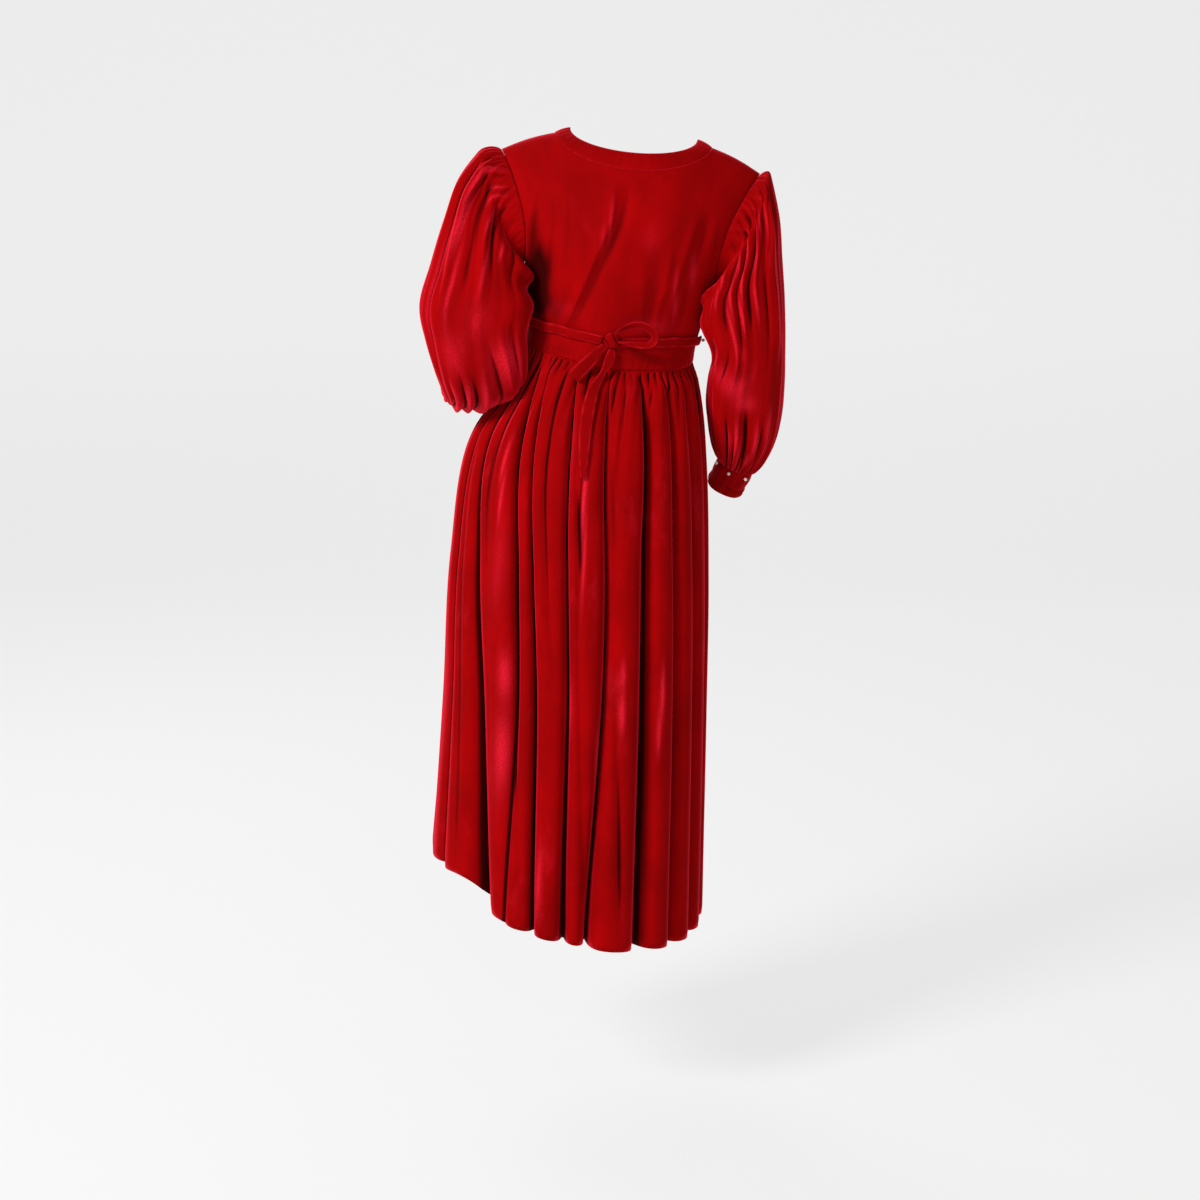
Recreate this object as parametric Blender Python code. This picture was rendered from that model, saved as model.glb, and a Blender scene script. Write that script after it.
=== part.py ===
"""Velvet dress with gathered sleeves and a tie that closes at the back.

Metres, +Z up.  The origin is midway between the two neck points, where the dress is held up.
The front faces -Y and the wearer's left is +X.  Every piece is a thin wall of cloth with its
own form; each stands 0.3 mm from its neighbour along the seam.
"""
import math

import bpy
import bmesh
import numpy as np

# driving dimensions
CLOTH = 0.002            # wall of the velvet
GAP = 0.0003             # space left along every seam
ROLL = math.radians(5.4)  # the shoulders and every level row tip this far
SHOULDER_TIP = 0.1925    # half of the shoulder width
SHOULDER_SLOPE = 0.41    # fall of the shoulder seam for each metre outwards
NECK_X = SHOULDER_TIP * math.cos(7 * math.pi / 24)  # where the neckline meets the shoulder
NECK_Z = -0.0095
BACK_DROP = 0.044        # neckline depth at the centre back
FRONT_DROP = 0.070       # neckline depth at the centre front
UNDERARM_Z = -0.215
COLUMNS = 24             # of one bodice panel
LOWER_ROWS = 5
UPPER_ROWS = 7
SLEEVE_AROUND = 42
CUFF_AROUND = 21
SKIRT_COLUMNS = 72       # of one skirt panel
CUFF_DEPTH = 0.030
EDGE_DEPTH = 0.0145
TIE_WIDTH = 0.014
TIE_DEPTH = 0.0042

VELVET = (0.42, 0.004, 0.010)

# body sections: height, half width, depth of the back, depth of the front, shift to the left
BODY = np.array([
    # z       half    back    front   shift
    (0.060, 0.220, 0.052, 0.055, -0.0063),
    (0.000, 0.216, 0.060, 0.062, 0.0000),
    (-0.060, 0.207, 0.079, 0.078, 0.0063),
    (-0.110, 0.190, 0.100, 0.099, 0.0116),
    (-0.160, 0.166, 0.108, 0.119, 0.0168),
    (-0.215, 0.143, 0.103, 0.122, 0.0226),
    (-0.255, 0.134, 0.094, 0.108, 0.0268),
    (-0.300, 0.127, 0.084, 0.092, 0.0330),
    (-0.340, 0.130, 0.088, 0.093, 0.0415),
])

# skirt sections, the same columns
SKIRT = np.array([
    # z       half    back    front   shift
    (-0.300, 0.127, 0.084, 0.092, 0.0330),
    (-0.340, 0.134, 0.093, 0.098, 0.0415),
    (-0.370, 0.148, 0.106, 0.108, 0.0490),
    (-0.400, 0.160, 0.116, 0.114, 0.0560),
    (-0.470, 0.178, 0.131, 0.124, 0.0680),
    (-0.640, 0.195, 0.152, 0.140, 0.0800),
    (-0.855, 0.201, 0.168, 0.158, 0.0870),
    (-1.190, 0.211, 0.192, 0.186, 0.1010),
])

# edge of the armhole: height, half width
ARMHOLE = np.array([
    (-0.0405, 0.1925),
    (-0.065, 0.177),
    (-0.090, 0.165),
    (-0.117, 0.154),
    (-0.150, 0.145),
    (-0.185, 0.1415),
    (-0.215, 0.143),
])

# waist seam and hem: turn in degrees (0 wearer's left, 90 centre back), height
WAIST_SEAM = np.array([
    (0, -0.3180),
    (50, -0.3290),
    (90, -0.3405),
    (135, -0.3370),
    (180, -0.3250),
    (270, -0.3190),
    (360, -0.3180),
])
HEM = np.array([
    (0, -1.113),
    (24, -1.116),
    (40, -1.123),
    (50, -1.154),
    (62, -1.166),
    (90, -1.186),
    (125, -1.194),
    (155, -1.186),
    (180, -1.168),
    (225, -1.158),
    (270, -1.146),
    (320, -1.122),
    (360, -1.112),
])

# skirt folds.  Turn in degrees at four heights, depth at the hip and at the hem, half width in
# degrees.  A minus depth is a swelling.
FOLD_HEIGHTS = (-0.335, -0.42, -0.62, -1.16)
FOLDS = np.array([
    # waist  hip   knee   hem    d_hip   d_hem   width
    (12, 14, 16, 20, 0.007, 0.014, 4.0),
    (26, 27, 34, 49, 0.011, 0.042, 8.0),
    (44, 51, 60, 64, 0.015, 0.006, 3.8),
    (53, 60, 68, 75, 0.010, 0.022, 3.4),
    (73, 79, 84, 88, 0.012, 0.026, 4.0),
    (93, 97, 102, 99, 0.017, 0.038, 4.3),
    (112, 119, 121, 123, 0.016, 0.034, 4.8),
    (129, 135, 138, 141, 0.012, 0.024, 3.8),
    (145, 149, 152, 156, 0.010, 0.022, 4.0),
    (160, 164, 167, 170, 0.010, 0.020, 4.2),
    (176, 178, 180, 184, 0.010, 0.018, 4.4),
    (193, 196, 198, 203, 0.012, 0.034, 4.6),
    (211, 213, 217, 220, 0.010, 0.024, 4.0),
    (228, 231, 236, 241, 0.013, 0.040, 5.0),
    (246, 249, 252, 256, 0.010, 0.022, 3.8),
    (262, 264, 268, 272, 0.014, 0.036, 4.6),
    (281, 282, 286, 291, 0.010, 0.026, 4.2),
    (297, 299, 303, 305, 0.012, 0.038, 4.8),
    (315, 317, 318, 321, 0.010, 0.020, 4.0),
    (334, 336, 338, 345, -0.002, -0.012, 15.0),
    (350, 352, 354, 357, 0.009, 0.018, 4.0),
])

# sleeve sections: centre, half size outwards and backwards, roll of the outward axis, tilt of the
# backward axis and turn about the upright, in degrees, and how far the inner rear corner hangs
# over the back
LEFT_SLEEVE = np.array([
    # x       y       z       out     back    roll  tilt  turn  over
    (0.2045, 0.000, -0.1170, 0.0910, 0.060, 74, 0, 0, 0.009),
    (0.2140, 0.012, -0.1440, 0.0875, 0.069, 59, 0, 0, 0.017),
    (0.2210, 0.024, -0.1790, 0.0800, 0.073, 43, 0, 0, 0.020),
    (0.2290, 0.033, -0.2175, 0.0765, 0.073, 23, 3, 0, 0.020),
    (0.2390, 0.040, -0.2560, 0.0780, 0.071, 5, 6, 0, 0.018),
    (0.2350, 0.046, -0.2930, 0.0735, 0.068, -5, 12, 2, 0.010),
    (0.2285, 0.046, -0.3260, 0.0695, 0.064, -9, 24, 5, 0.008),
    (0.2270, 0.032, -0.3510, 0.0630, 0.061, -9, 44, 8, 0.010),
    (0.2390, -0.002, -0.3640, 0.0530, 0.050, -5, 66, 10, 0.005),
    (0.2500, -0.046, -0.3680, 0.0430, 0.043, -2, 76, 10, 0.000),
    (0.2470, -0.088, -0.3720, 0.0370, 0.036, 0, 80, 14, 0.000),
    (0.2400, -0.118, -0.3760, 0.0285, 0.026, 0, 80, 20, 0.000),
])
RIGHT_SLEEVE = np.array([
    # x        y       z       out     back    roll  tilt  turn  over
    (-0.1695, 0.002, -0.1480, 0.0870, 0.054, 68, 0, 0, 0.012),
    (-0.1690, 0.013, -0.1860, 0.0815, 0.061, 57, 0, 0, 0.024),
    (-0.1620, 0.015, -0.2250, 0.0730, 0.069, 38, 0, 0, 0.021),
    (-0.1690, 0.015, -0.2690, 0.0600, 0.067, 22, 3, 0, 0.018),
    (-0.1740, 0.010, -0.3160, 0.0530, 0.063, 6, 8, 0, 0.010),
    (-0.1700, 0.001, -0.3640, 0.0570, 0.061, -4, 13, 0, 0.004),
    (-0.1672, -0.010, -0.4040, 0.0580, 0.059, -8, 15, 0, 0.000),
    (-0.1662, -0.020, -0.4400, 0.0525, 0.053, -10, 17, 0, 0.000),
    (-0.1640, -0.030, -0.4660, 0.0450, 0.045, -14, 20, 0, 0.000),
    (-0.1615, -0.037, -0.4830, 0.0370, 0.037, -19, 23, 0, 0.000),
    (-0.1580, -0.042, -0.4950, 0.0285, 0.028, -24, 26, 0, 0.000),
])

# centre lines: place, half width and half depth of the cloth strip, turn of the strip
KNOT = (0.0335, 0.0928, -0.2995)
LOOP = np.array([
    # x       y       z
    (0.0275, 0.0975, -0.2900),
    (0.0150, 0.1020, -0.2815),
    (-0.0010, 0.1060, -0.2760),
    (-0.0170, 0.1070, -0.2785),
    (-0.0280, 0.1050, -0.2880),
    (-0.0285, 0.1030, -0.2995),
    (-0.0200, 0.1020, -0.3065),
    (-0.0050, 0.1010, -0.3060),
    (0.0090, 0.0990, -0.3040),
    (0.0238, 0.0962, -0.3021),
])
TAIL_SHORT = np.array([
    # x       y       z
    (0.0431, 0.0935, -0.3064),
    (0.0540, 0.0965, -0.3170),
    (0.0655, 0.1010, -0.3290),
    (0.0790, 0.1065, -0.3420),
    (0.0890, 0.1085, -0.3530),
])
TAIL_LONG = np.array([
    # x       y       z
    (0.0326, 0.0939, -0.3125),
    (0.0370, 0.0975, -0.3290),
    (0.0470, 0.1045, -0.3475),
    (0.0590, 0.1140, -0.3680),
    (0.0660, 0.1220, -0.3930),
    (0.0710, 0.1290, -0.4230),
    (0.0735, 0.1365, -0.4580),
    (0.0750, 0.1420, -0.4960),
])


def clear_scene():
    """Remove whatever the file opened with."""
    for thing in list(bpy.data.objects):
        bpy.data.objects.remove(thing, do_unlink=True)


def velvet_material(name):
    """Deep red pile cloth."""
    material = bpy.data.materials.new(name)
    material.use_nodes = True
    shader = material.node_tree.nodes["Principled BSDF"]
    shader.inputs["Base Color"].default_value = (*VELVET, 1.0)
    shader.inputs["Roughness"].default_value = 0.85
    shader.inputs["Metallic"].default_value = 0.0
    return material


def curve(table, at, column=1):
    """Smooth line through the table's rows: first column against another."""
    rows = table[np.argsort(table[:, 0])]
    x = rows[:, 0]
    y = rows[:, column]
    slope = np.gradient(y, x)
    at = np.clip(np.asarray(at, dtype=float), x[0], x[-1])
    k = np.clip(np.searchsorted(x, at, side="right") - 1, 0, len(x) - 2)
    span = x[k + 1] - x[k]
    t = (at - x[k]) / span
    low = (1 + 2 * t) * (1 - t) ** 2 * y[k] + t * (1 - t) ** 2 * span * slope[k]
    high = t * t * (3 - 2 * t) * y[k + 1] - t * t * (1 - t) * span * slope[k + 1]
    return low + high


def unit(vectors):
    """Vectors of length one."""
    size = np.linalg.norm(vectors, axis=-1, keepdims=True)
    return vectors / np.maximum(size, 1e-12)


def lean(points, table):
    """Tip the rows and shift them to the wearer's left as the stance does."""
    x, y, z = points[..., 0], points[..., 1], points[..., 2]
    shift = curve(table, z, 4)
    return np.stack([x * math.cos(ROLL) + shift, y, z + x * math.sin(ROLL)], axis=-1)


def grid_normals(points, around=False):
    """Normals of a grid from the differences of its neighbours."""
    if around:
        across = np.roll(points, -1, axis=1) - np.roll(points, 1, axis=1)
    else:
        across = np.gradient(points, axis=1)
    along = np.gradient(points, axis=0)
    return unit(np.cross(across, along))


def wall(name, outer, normals, around=False):
    """A wall of cloth: the outer grid, the same grid moved in by the thickness, and its rims."""
    rows, columns = outer.shape[:2]
    inner = outer - normals * CLOTH
    points = np.concatenate([outer.reshape(-1, 3), inner.reshape(-1, 3)])
    half = rows * columns
    faces = []
    last = columns if around else columns - 1
    for r in range(rows - 1):
        for c in range(last):
            a = r * columns + c
            b = r * columns + (c + 1) % columns
            d = a + columns
            e = b + columns
            faces.append((a, b, e, d))
            faces.append((half + a, half + d, half + e, half + b))
    for r in (0, rows - 1):
        for c in range(last):
            a = r * columns + c
            b = r * columns + (c + 1) % columns
            faces.append((a, half + a, half + b, b))
    if not around:
        for c in (0, columns - 1):
            for r in range(rows - 1):
                a = r * columns + c
                d = a + columns
                faces.append((a, d, half + d, half + a))
    return solid(name, points, faces)


def solid(name, points, faces):
    """One closed object with its faces turned outwards."""
    mesh = bpy.data.meshes.new(name)
    mesh.from_pydata([tuple(p) for p in points], [], faces)
    work = bmesh.new()
    work.from_mesh(mesh)
    bmesh.ops.triangulate(work, faces=work.faces[:])
    bmesh.ops.recalc_face_normals(work, faces=work.faces[:])
    if work.calc_volume(signed=True) < 0:
        bmesh.ops.reverse_faces(work, faces=work.faces[:])
    work.to_mesh(mesh)
    work.free()
    mesh.materials.append(velvet_material(name + "_velvet"))
    piece = bpy.data.objects.new(name, mesh)
    bpy.context.scene.collection.objects.link(piece)
    return piece


def shoulder_height(x):
    """Height of the shoulder ridge over a place across the body, a little full in its middle."""
    off = np.abs(x) - NECK_X
    full = np.sin(np.clip(off / (SHOULDER_TIP - NECK_X), 0, 1) * math.pi)
    return NECK_Z - SHOULDER_SLOPE * off + 0.003 * full


def body_depth(x, z, column):
    """Depth of the back or front over a place: an oval section that closes at the shoulder."""
    half = curve(BODY, z, 1)
    depth = curve(BODY, z, column)
    oval = np.sqrt(np.clip(1 - (x / half) ** 2, 0, 1))
    q = np.clip((shoulder_height(x) - z) / 0.09, 0, 1)
    return depth * oval * np.sqrt(np.clip(1 - (1 - q) ** 2, 0, 1))


def bodice_points(back, columns=COLUMNS):
    """One bodice panel before the lean: rows from the waist seam to the neck and shoulders."""
    column = 2 if back else 3
    side = 1.0 if back else -1.0
    s = np.linspace(0, 1, columns + 1)
    turn = 180 * s if back else 360 - 180 * s
    seam = curve(WAIST_SEAM, turn) + GAP / 2
    rows = []
    for k in range(LOWER_ROWS):
        z = seam + (UNDERARM_Z - seam) * k / LOWER_ROWS
        x = curve(BODY, z, 1) * np.cos(math.pi * s)
        y = side * curve(BODY, z, column) * np.sin(math.pi * s)
        rows.append(np.stack([x, y, z], axis=-1))
    top_x = SHOULDER_TIP * np.cos(math.pi * s)
    drop = BACK_DROP if back else FRONT_DROP
    inside = np.sqrt(np.clip(1 - (top_x / NECK_X) ** 2, 0, 1))
    top = np.where(np.abs(top_x) > NECK_X - 1e-6, shoulder_height(top_x), NECK_Z - drop * inside ** 1.3)
    for k in range(UPPER_ROWS + 1):
        t = k / UPPER_ROWS
        edge = UNDERARM_Z + (-0.0405 - UNDERARM_Z) * t
        x = curve(ARMHOLE, edge) * np.cos(math.pi * s)
        z = UNDERARM_Z + (top - UNDERARM_Z) * t
        rows.append(np.stack([x, side * body_depth(x, z, column), z], axis=-1))
    points = np.array(rows)
    points[..., 1] += side * GAP / 2
    return points


def bodice_panel(back):
    """Points and outward normals of a bodice panel, with the seam normals kept square."""
    side = 1.0 if back else -1.0
    points = bodice_points(back)
    normals = grid_normals(points)
    centre = normals[2, COLUMNS // 2, 1]
    if centre * side < 0:
        normals = -normals
    for c in (0, COLUMNS):
        x = 1.0 if c == 0 else -1.0
        normals[:LOWER_ROWS + 1, c] = (x, 0.0, 0.0)
    shoulder = [c for c in range(COLUMNS + 1) if c <= 7 or c >= COLUMNS - 7]
    for c in shoulder:
        x = 1.0 if c <= 7 else -1.0
        normals[-1, c] = unit(np.array([SHOULDER_SLOPE * x, 0.0, 1.0]))
    normals[0, :, 2] = 0.0
    return points, unit(normals)


def bodice_folds(points):
    """The long slanting fold of the back and the softer creases near it, as small movements."""
    x, z = points[..., 0], points[..., 2]
    line = np.interp(-z, (0.085, 0.14, 0.255, 0.31), (0.022, 0.018, 0.060, 0.078))
    fade = np.clip((-z - 0.075) / 0.05, 0, 1) * np.clip((0.33 + z) / 0.05, 0, 1)
    ridge = 0.0034 * np.exp(-((x - line) / 0.014) ** 2)
    trough = -0.0026 * np.exp(-((x - line + 0.026) / 0.012) ** 2)
    right = np.interp(-z, (0.11, 0.26, 0.31), (-0.125, -0.098, -0.080))
    pull = -0.0030 * np.exp(-((x - right) / 0.014) ** 2)
    moved = points.copy()
    moved[..., 1] += fade * (ridge + trough + pull)
    return moved


def build_bodice():
    """Back and front panels; the armhole and neckline stay open."""
    panels = {}
    for back, name in ((True, "bodice_back"), (False, "bodice_front")):
        points, normals = bodice_panel(back)
        panels[back] = (points, normals)
        shaped = bodice_folds(points) if back else points
        shaped[:, (0, -1)] = points[:, (0, -1)]
        shaped[(0, -1)] = points[(0, -1)]
        placed = lean(shaped, BODY)
        ahead = lean(shaped + normals * 0.001, BODY)
        wall(name, placed, unit(ahead - placed))
    return panels


def build_neck_band(panels):
    """The narrow band: it stands up and in from the neckline seam."""
    seam = []
    across = []
    for back in (True, False):
        points, normals = panels[back]
        span = range(7, COLUMNS - 6) if back else range(COLUMNS - 7, 6, -1)
        for c in span:
            if not back and c in (7, COLUMNS - 7):
                continue
            seam.append(points[-1, c])
            across.append(normals[-1, c])
    seam = np.array(seam)
    across = np.array(across)
    seam[np.abs(np.abs(seam[:, 0]) - NECK_X) < 1e-6, 1] = 0.0
    x = seam[:, 0] / NECK_X
    rise = np.sqrt(np.clip(1 - x ** 2, 0, 1)) * np.sign(seam[:, 1])
    top = np.stack([
        0.0945 * x,
        np.where(rise > 0, 0.0575, 0.0680) * rise,
        -np.where(rise > 0, 0.029, 0.056) * np.abs(rise) ** 1.3,
    ], axis=-1)
    inward = unit(top - seam)
    rows = []
    for t in (0.0, 0.35, 0.7, 1.0):
        bow = 0.0016 * math.sin(math.pi * t)
        rows.append(seam + inward * GAP + (top - seam - inward * GAP) * t + across * bow)
    rows = np.array(rows)
    normals = np.broadcast_to(across, rows.shape).copy()
    flat = grid_normals(rows, around=True)
    if np.sum(flat * normals) < 0:
        flat = -flat
    normals[1:] = flat[1:]
    normals[1] = unit(across + flat[1])
    placed = lean(rows, BODY)
    ahead = lean(rows + normals * 0.001, BODY)
    wall("neck_band", placed, unit(ahead - placed), around=True)


def armhole_loop(panels, left):
    """The armhole's edge from the shoulder tip down the back and up the front."""
    column = 0 if left else COLUMNS
    back, back_normals = panels[True]
    front, front_normals = panels[False]
    down = back[LOWER_ROWS:, column][::-1]
    up = front[LOWER_ROWS:, column]
    points = np.concatenate([down[:-1], up[:-1]])
    normals = np.concatenate([
        back_normals[LOWER_ROWS:, column][::-1][:-1],
        front_normals[LOWER_ROWS:, column][:-1],
    ])
    points[0, 1] = 0.0
    points[UPPER_ROWS, 1] = 0.0
    share = SLEEVE_AROUND // len(points)
    fine = []
    fine_normals = []
    for k in range(len(points)):
        n = (k + 1) % len(points)
        for j in range(share):
            t = j / share
            fine.append(points[k] * (1 - t) + points[n] * t)
            fine_normals.append(normals[k] * (1 - t) + normals[n] * t)
    return np.array(fine), unit(np.array(fine_normals))


def section_axes(row, left):
    """Outward and backward directions of one sleeve section."""
    side = 1.0 if left else -1.0
    roll, tilt, turn = (math.radians(a) for a in row[5:8])
    out = np.array([side * math.cos(roll), 0.0, math.sin(roll)])
    rear = np.array([0.0, math.cos(tilt), -math.sin(tilt)])
    a = -turn * side
    spin = np.array([
        (math.cos(a), -math.sin(a), 0.0),
        (math.sin(a), math.cos(a), 0.0),
        (0.0, 0.0, 1.0),
    ])
    out = spin @ out
    rear = spin @ rear
    rear = unit(rear - out * np.dot(rear, out))
    return out, rear


def section_ring(row, left, around, ripple=0.0, phase=0.0):
    """One full section: an oval a little squarer than an ellipse, with gathers."""
    out, rear = section_axes(row, left)
    turn = np.linspace(0, 2 * math.pi, around, endpoint=False)
    c, s = np.cos(turn), np.sin(turn)
    full = (np.abs(c) ** 2.4 + np.abs(s) ** 2.4) ** (-1 / 2.4)
    wave = 0.62 * np.cos(7 * turn + phase) + 0.38 * np.cos(4 * turn + 1.7 * phase + 0.6)
    size = full * (1 + ripple * wave)
    reach = (row[3] * c * size)[:, None] * out + (row[4] * s * size)[:, None] * rear
    over = row[8] * np.exp(-(((np.degrees(turn) - 140) / 36) ** 2))
    reach[:, 0] += over * (-1.0 if left else 1.0)
    return row[:3] + reach


def push_out(points, clear):
    """Move points that would lie inside the body or skirt to just outside it."""
    x, y, z = points[:, 0], points[:, 1], points[:, 2]
    level = z.copy()
    for _ in range(3):
        across = (x - curve(SKIRT, level, 4)) / math.cos(ROLL)
        level = z - across * math.sin(ROLL)
    table = np.where(level < -0.325, 1, 0)
    high = np.maximum(level, -0.34)
    low = np.minimum(level, -0.30)
    shift = np.where(table == 1, curve(SKIRT, low, 4), curve(BODY, high, 4))
    across = (x - shift) / math.cos(ROLL)
    half = np.where(table == 1, curve(SKIRT, low, 1), curve(BODY, high, 1))
    rear = np.where(table == 1, curve(SKIRT, low, 2), curve(BODY, high, 2))
    fore = np.where(table == 1, curve(SKIRT, low, 3), curve(BODY, high, 3))
    turn = np.degrees(np.arctan2(y / rear, across / half))
    dent = np.where(table == 1, pressed(turn, low), 0.0)
    half = half + clear - dent
    deep = np.where(y > 0, rear, fore) + clear - dent
    size = np.sqrt((across / half) ** 2 + (y / deep) ** 2)
    grow = np.where((size < 1) & (level < -0.205), 1 / np.maximum(size, 1e-6), 1.0)
    moved = points.copy()
    moved[:, 0] = across * grow * math.cos(ROLL) + shift
    moved[:, 1] = y * grow
    moved[:, 2] = z + across * (grow - 1) * math.sin(ROLL)
    return moved


def build_sleeve(panels, left):
    """A full sleeve gathered into the armhole and into the cuff."""
    name = "sleeve_left" if left else "sleeve_right"
    table = LEFT_SLEEVE if left else RIGHT_SLEEVE
    loop, loop_normals = armhole_loop(panels, left)
    side = 1.0 if left else -1.0
    down = (loop[:, 2] - loop[:, 2].min()) / np.ptp(loop[:, 2])
    step = np.stack([np.full(len(loop), side), np.zeros(len(loop)), 1 - down], axis=-1)
    start = loop + step * GAP
    rings = [lean(start, BODY)]
    under = np.clip((0.45 - down) / 0.45, 0, 1)[:, None]
    under = under * under * (3 - 2 * under)
    below = np.array([0.3 * side, 0.0, -1.0])
    turned = unit(loop_normals * (1 - under) + below * under)
    first = unit(lean(start + turned * 0.001, BODY) - rings[0])
    last = len(table) - 1
    for k, row in enumerate(table[:-1]):
        ripple = 0.045 * max(0.0, 1 - k / 3) + 0.05 * max(0.0, 1 - (last - 1 - k) / 3) + 0.014
        ring = section_ring(row, left, SLEEVE_AROUND, ripple, 0.4 + 0.05 * k)
        rings.append(push_out(ring, 0.0085))
    coarse = cuff_ring(table, left, -GAP)
    share = SLEEVE_AROUND // CUFF_AROUND
    fine = []
    for k in range(CUFF_AROUND):
        for j in range(share):
            t = j / share
            fine.append(coarse[k] * (1 - t) + coarse[(k + 1) % CUFF_AROUND] * t)
    rings.append(np.array(fine))
    points = np.array(rings)
    normals = grid_normals(points, around=True)
    centre = points.mean(axis=1, keepdims=True)
    if np.sum(normals * (points - centre)) < 0:
        normals = -normals
    normals[0] = first
    normals[-1] = unit(points[-1] - centre[-1])
    wall(name, points, normals, around=True)


def cuff_ring(table, left, along, grow=0.0):
    """A ring of the cuff at a distance along it from the gathered end."""
    row = table[-1].copy()
    out, rear = section_axes(row, left)
    axis = unit(np.cross(out, rear))
    before = table[-1, :3] - table[-2, :3]
    if np.dot(axis, before) < 0:
        axis = -axis
    row[:3] = row[:3] + axis * along
    row[3] += grow
    row[4] += grow
    return section_ring(row, left, CUFF_AROUND)


def build_cuff(left):
    """The wide cuff and the narrow band along its open edge."""
    side = "left" if left else "right"
    table = LEFT_SLEEVE if left else RIGHT_SLEEVE
    spans = (
        ("cuff_" + side, GAP, CUFF_DEPTH, (0.0, 0.0008, 0.0)),
        ("cuff_edge_" + side, CUFF_DEPTH + GAP, CUFF_DEPTH + EDGE_DEPTH, (0.0, 0.0004)),
    )
    for name, start, end, swell in spans:
        rings = []
        for k, grow in enumerate(swell):
            along = start + (end - start) * k / (len(swell) - 1)
            rings.append(cuff_ring(table, left, along, grow))
        points = np.array(rings)
        centre = points.mean(axis=1, keepdims=True)
        wall(name, points, unit(points - centre), around=True)


def pressed(turn, z):
    """How far the bent sleeve presses the skirt in at the wearer's left hip."""
    off = (turn - 14 + 180) % 360 - 180
    return 0.024 * np.exp(-((off / 34) ** 2)) * np.exp(-(((z + 0.385) / 0.048) ** 2))


def fold_depth(turn, z):
    """How far the skirt stands in from its outer line at a turn and height."""
    depth = np.zeros(np.broadcast(turn, z).shape)
    for fold in FOLDS:
        at = np.interp(-z, [-h for h in FOLD_HEIGHTS], fold[:4])
        deep = np.interp(-z, (0.335, 0.42, 1.16), (0.0, fold[4], fold[5]))
        off = (turn - at + 180) % 360 - 180
        wide = fold[6] * np.interp(-z, (0.335, 0.62, 1.16), (0.7, 0.85, 1.1))
        depth = depth + deep * np.exp(-((off / wide) ** 2))
    gathers = np.exp(-((-z - 0.335) / 0.035) ** 2)
    wave = 0.6 * np.cos(np.radians(turn) * 27) + 0.4 * np.cos(np.radians(turn) * 19 + 1.3)
    return depth + 0.0022 * gathers * wave + pressed(turn, z)


def skirt_points(back, columns=SKIRT_COLUMNS):
    """One skirt panel before the lean, rows from the waist seam to the hem."""
    s = np.linspace(0, 1, columns + 1)
    turn = 180 * s if back else 360 - 180 * s
    column = 2 if back else 3
    side = 1.0 if back else -1.0
    start = curve(WAIST_SEAM, turn) - GAP / 2
    end = curve(HEM, turn)
    coarse = bodice_points(back)[0]
    coarse[:, 2] -= GAP
    coarse[:, 1] -= side * GAP / 2
    place = s * COLUMNS
    k = np.clip(place.astype(int), 0, COLUMNS - 1)
    t = (place - k)[:, None]
    rows = [coarse[k] * (1 - t) + coarse[k + 1] * t]
    for t in (0.012, 0.035, 0.07, 0.12, 0.19, 0.28, 0.39, 0.52, 0.66, 0.83, 1.0):
        z = start + (end - start) * t
        half = curve(SKIRT, z, 1)
        deep = curve(SKIRT, z, column)
        angle = np.radians(180 * s)
        x = half * np.cos(angle)
        y = side * deep * np.sin(angle)
        n = unit(np.stack([np.cos(angle) / half, side * np.sin(angle) / deep], axis=-1))
        drop = fold_depth(turn, z) - 0.003
        rows.append(np.stack([x - n[:, 0] * drop, y - n[:, 1] * drop, z], axis=-1))
    points = np.array(rows)
    points[:, 0, 1] = 0.0
    points[:, -1, 1] = 0.0
    points[..., 1] += side * GAP / 2
    return points


def build_skirt():
    """Back and front skirt panels, gathered to the waist seam and open at the hem."""
    for back, name in ((True, "skirt_back"), (False, "skirt_front")):
        side = 1.0 if back else -1.0
        points = skirt_points(back)
        normals = grid_normals(points)
        if np.sum(normals[..., 1]) * side < 0:
            normals = -normals
        for c, x in ((0, 1.0), (-1, -1.0)):
            normals[:, c] = (x, 0.0, 0.0)
        fine = bodice_panel(back)[1][0]
        place = np.linspace(0, COLUMNS, SKIRT_COLUMNS + 1)
        k = np.clip(place.astype(int), 0, COLUMNS - 1)
        t = (place - k)[:, None]
        normals[0] = unit(fine[k] * (1 - t) + fine[k + 1] * t)
        placed = lean(points, SKIRT)
        ahead = lean(points + normals * 0.001, SKIRT)
        wall(name, placed, unit(ahead - placed))


def strip(name, path, up, half_width, half_depth, taper=None):
    """A pressed tube of cloth along a path: rounded sections, closed at both ends."""
    path = np.asarray(path, dtype=float)
    tangent = unit(np.gradient(path, axis=0))
    up = unit(up - tangent * np.sum(up * tangent, axis=-1, keepdims=True))
    out = np.cross(tangent, up)
    corners = ((1.0, 0.0), (0.82, 0.8), (0.0, 1.0), (-0.82, 0.8))
    ring = list(corners) + [(-a, -b) for a, b in corners]
    points = []
    for k in range(len(path)):
        size = 1.0 if taper is None else taper[k]
        for a, b in ring:
            points.append(path[k] + up[k] * half_width * size * a + out[k] * half_depth * b)
    count = len(ring)
    faces = []
    for k in range(len(path) - 1):
        for j in range(count):
            a = k * count + j
            b = k * count + (j + 1) % count
            faces.append((a, b, b + count, a + count))
    faces.append(tuple(range(count)))
    faces.append(tuple((len(path) - 1) * count + j for j in range(count)))
    return solid(name, points, faces)


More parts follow.
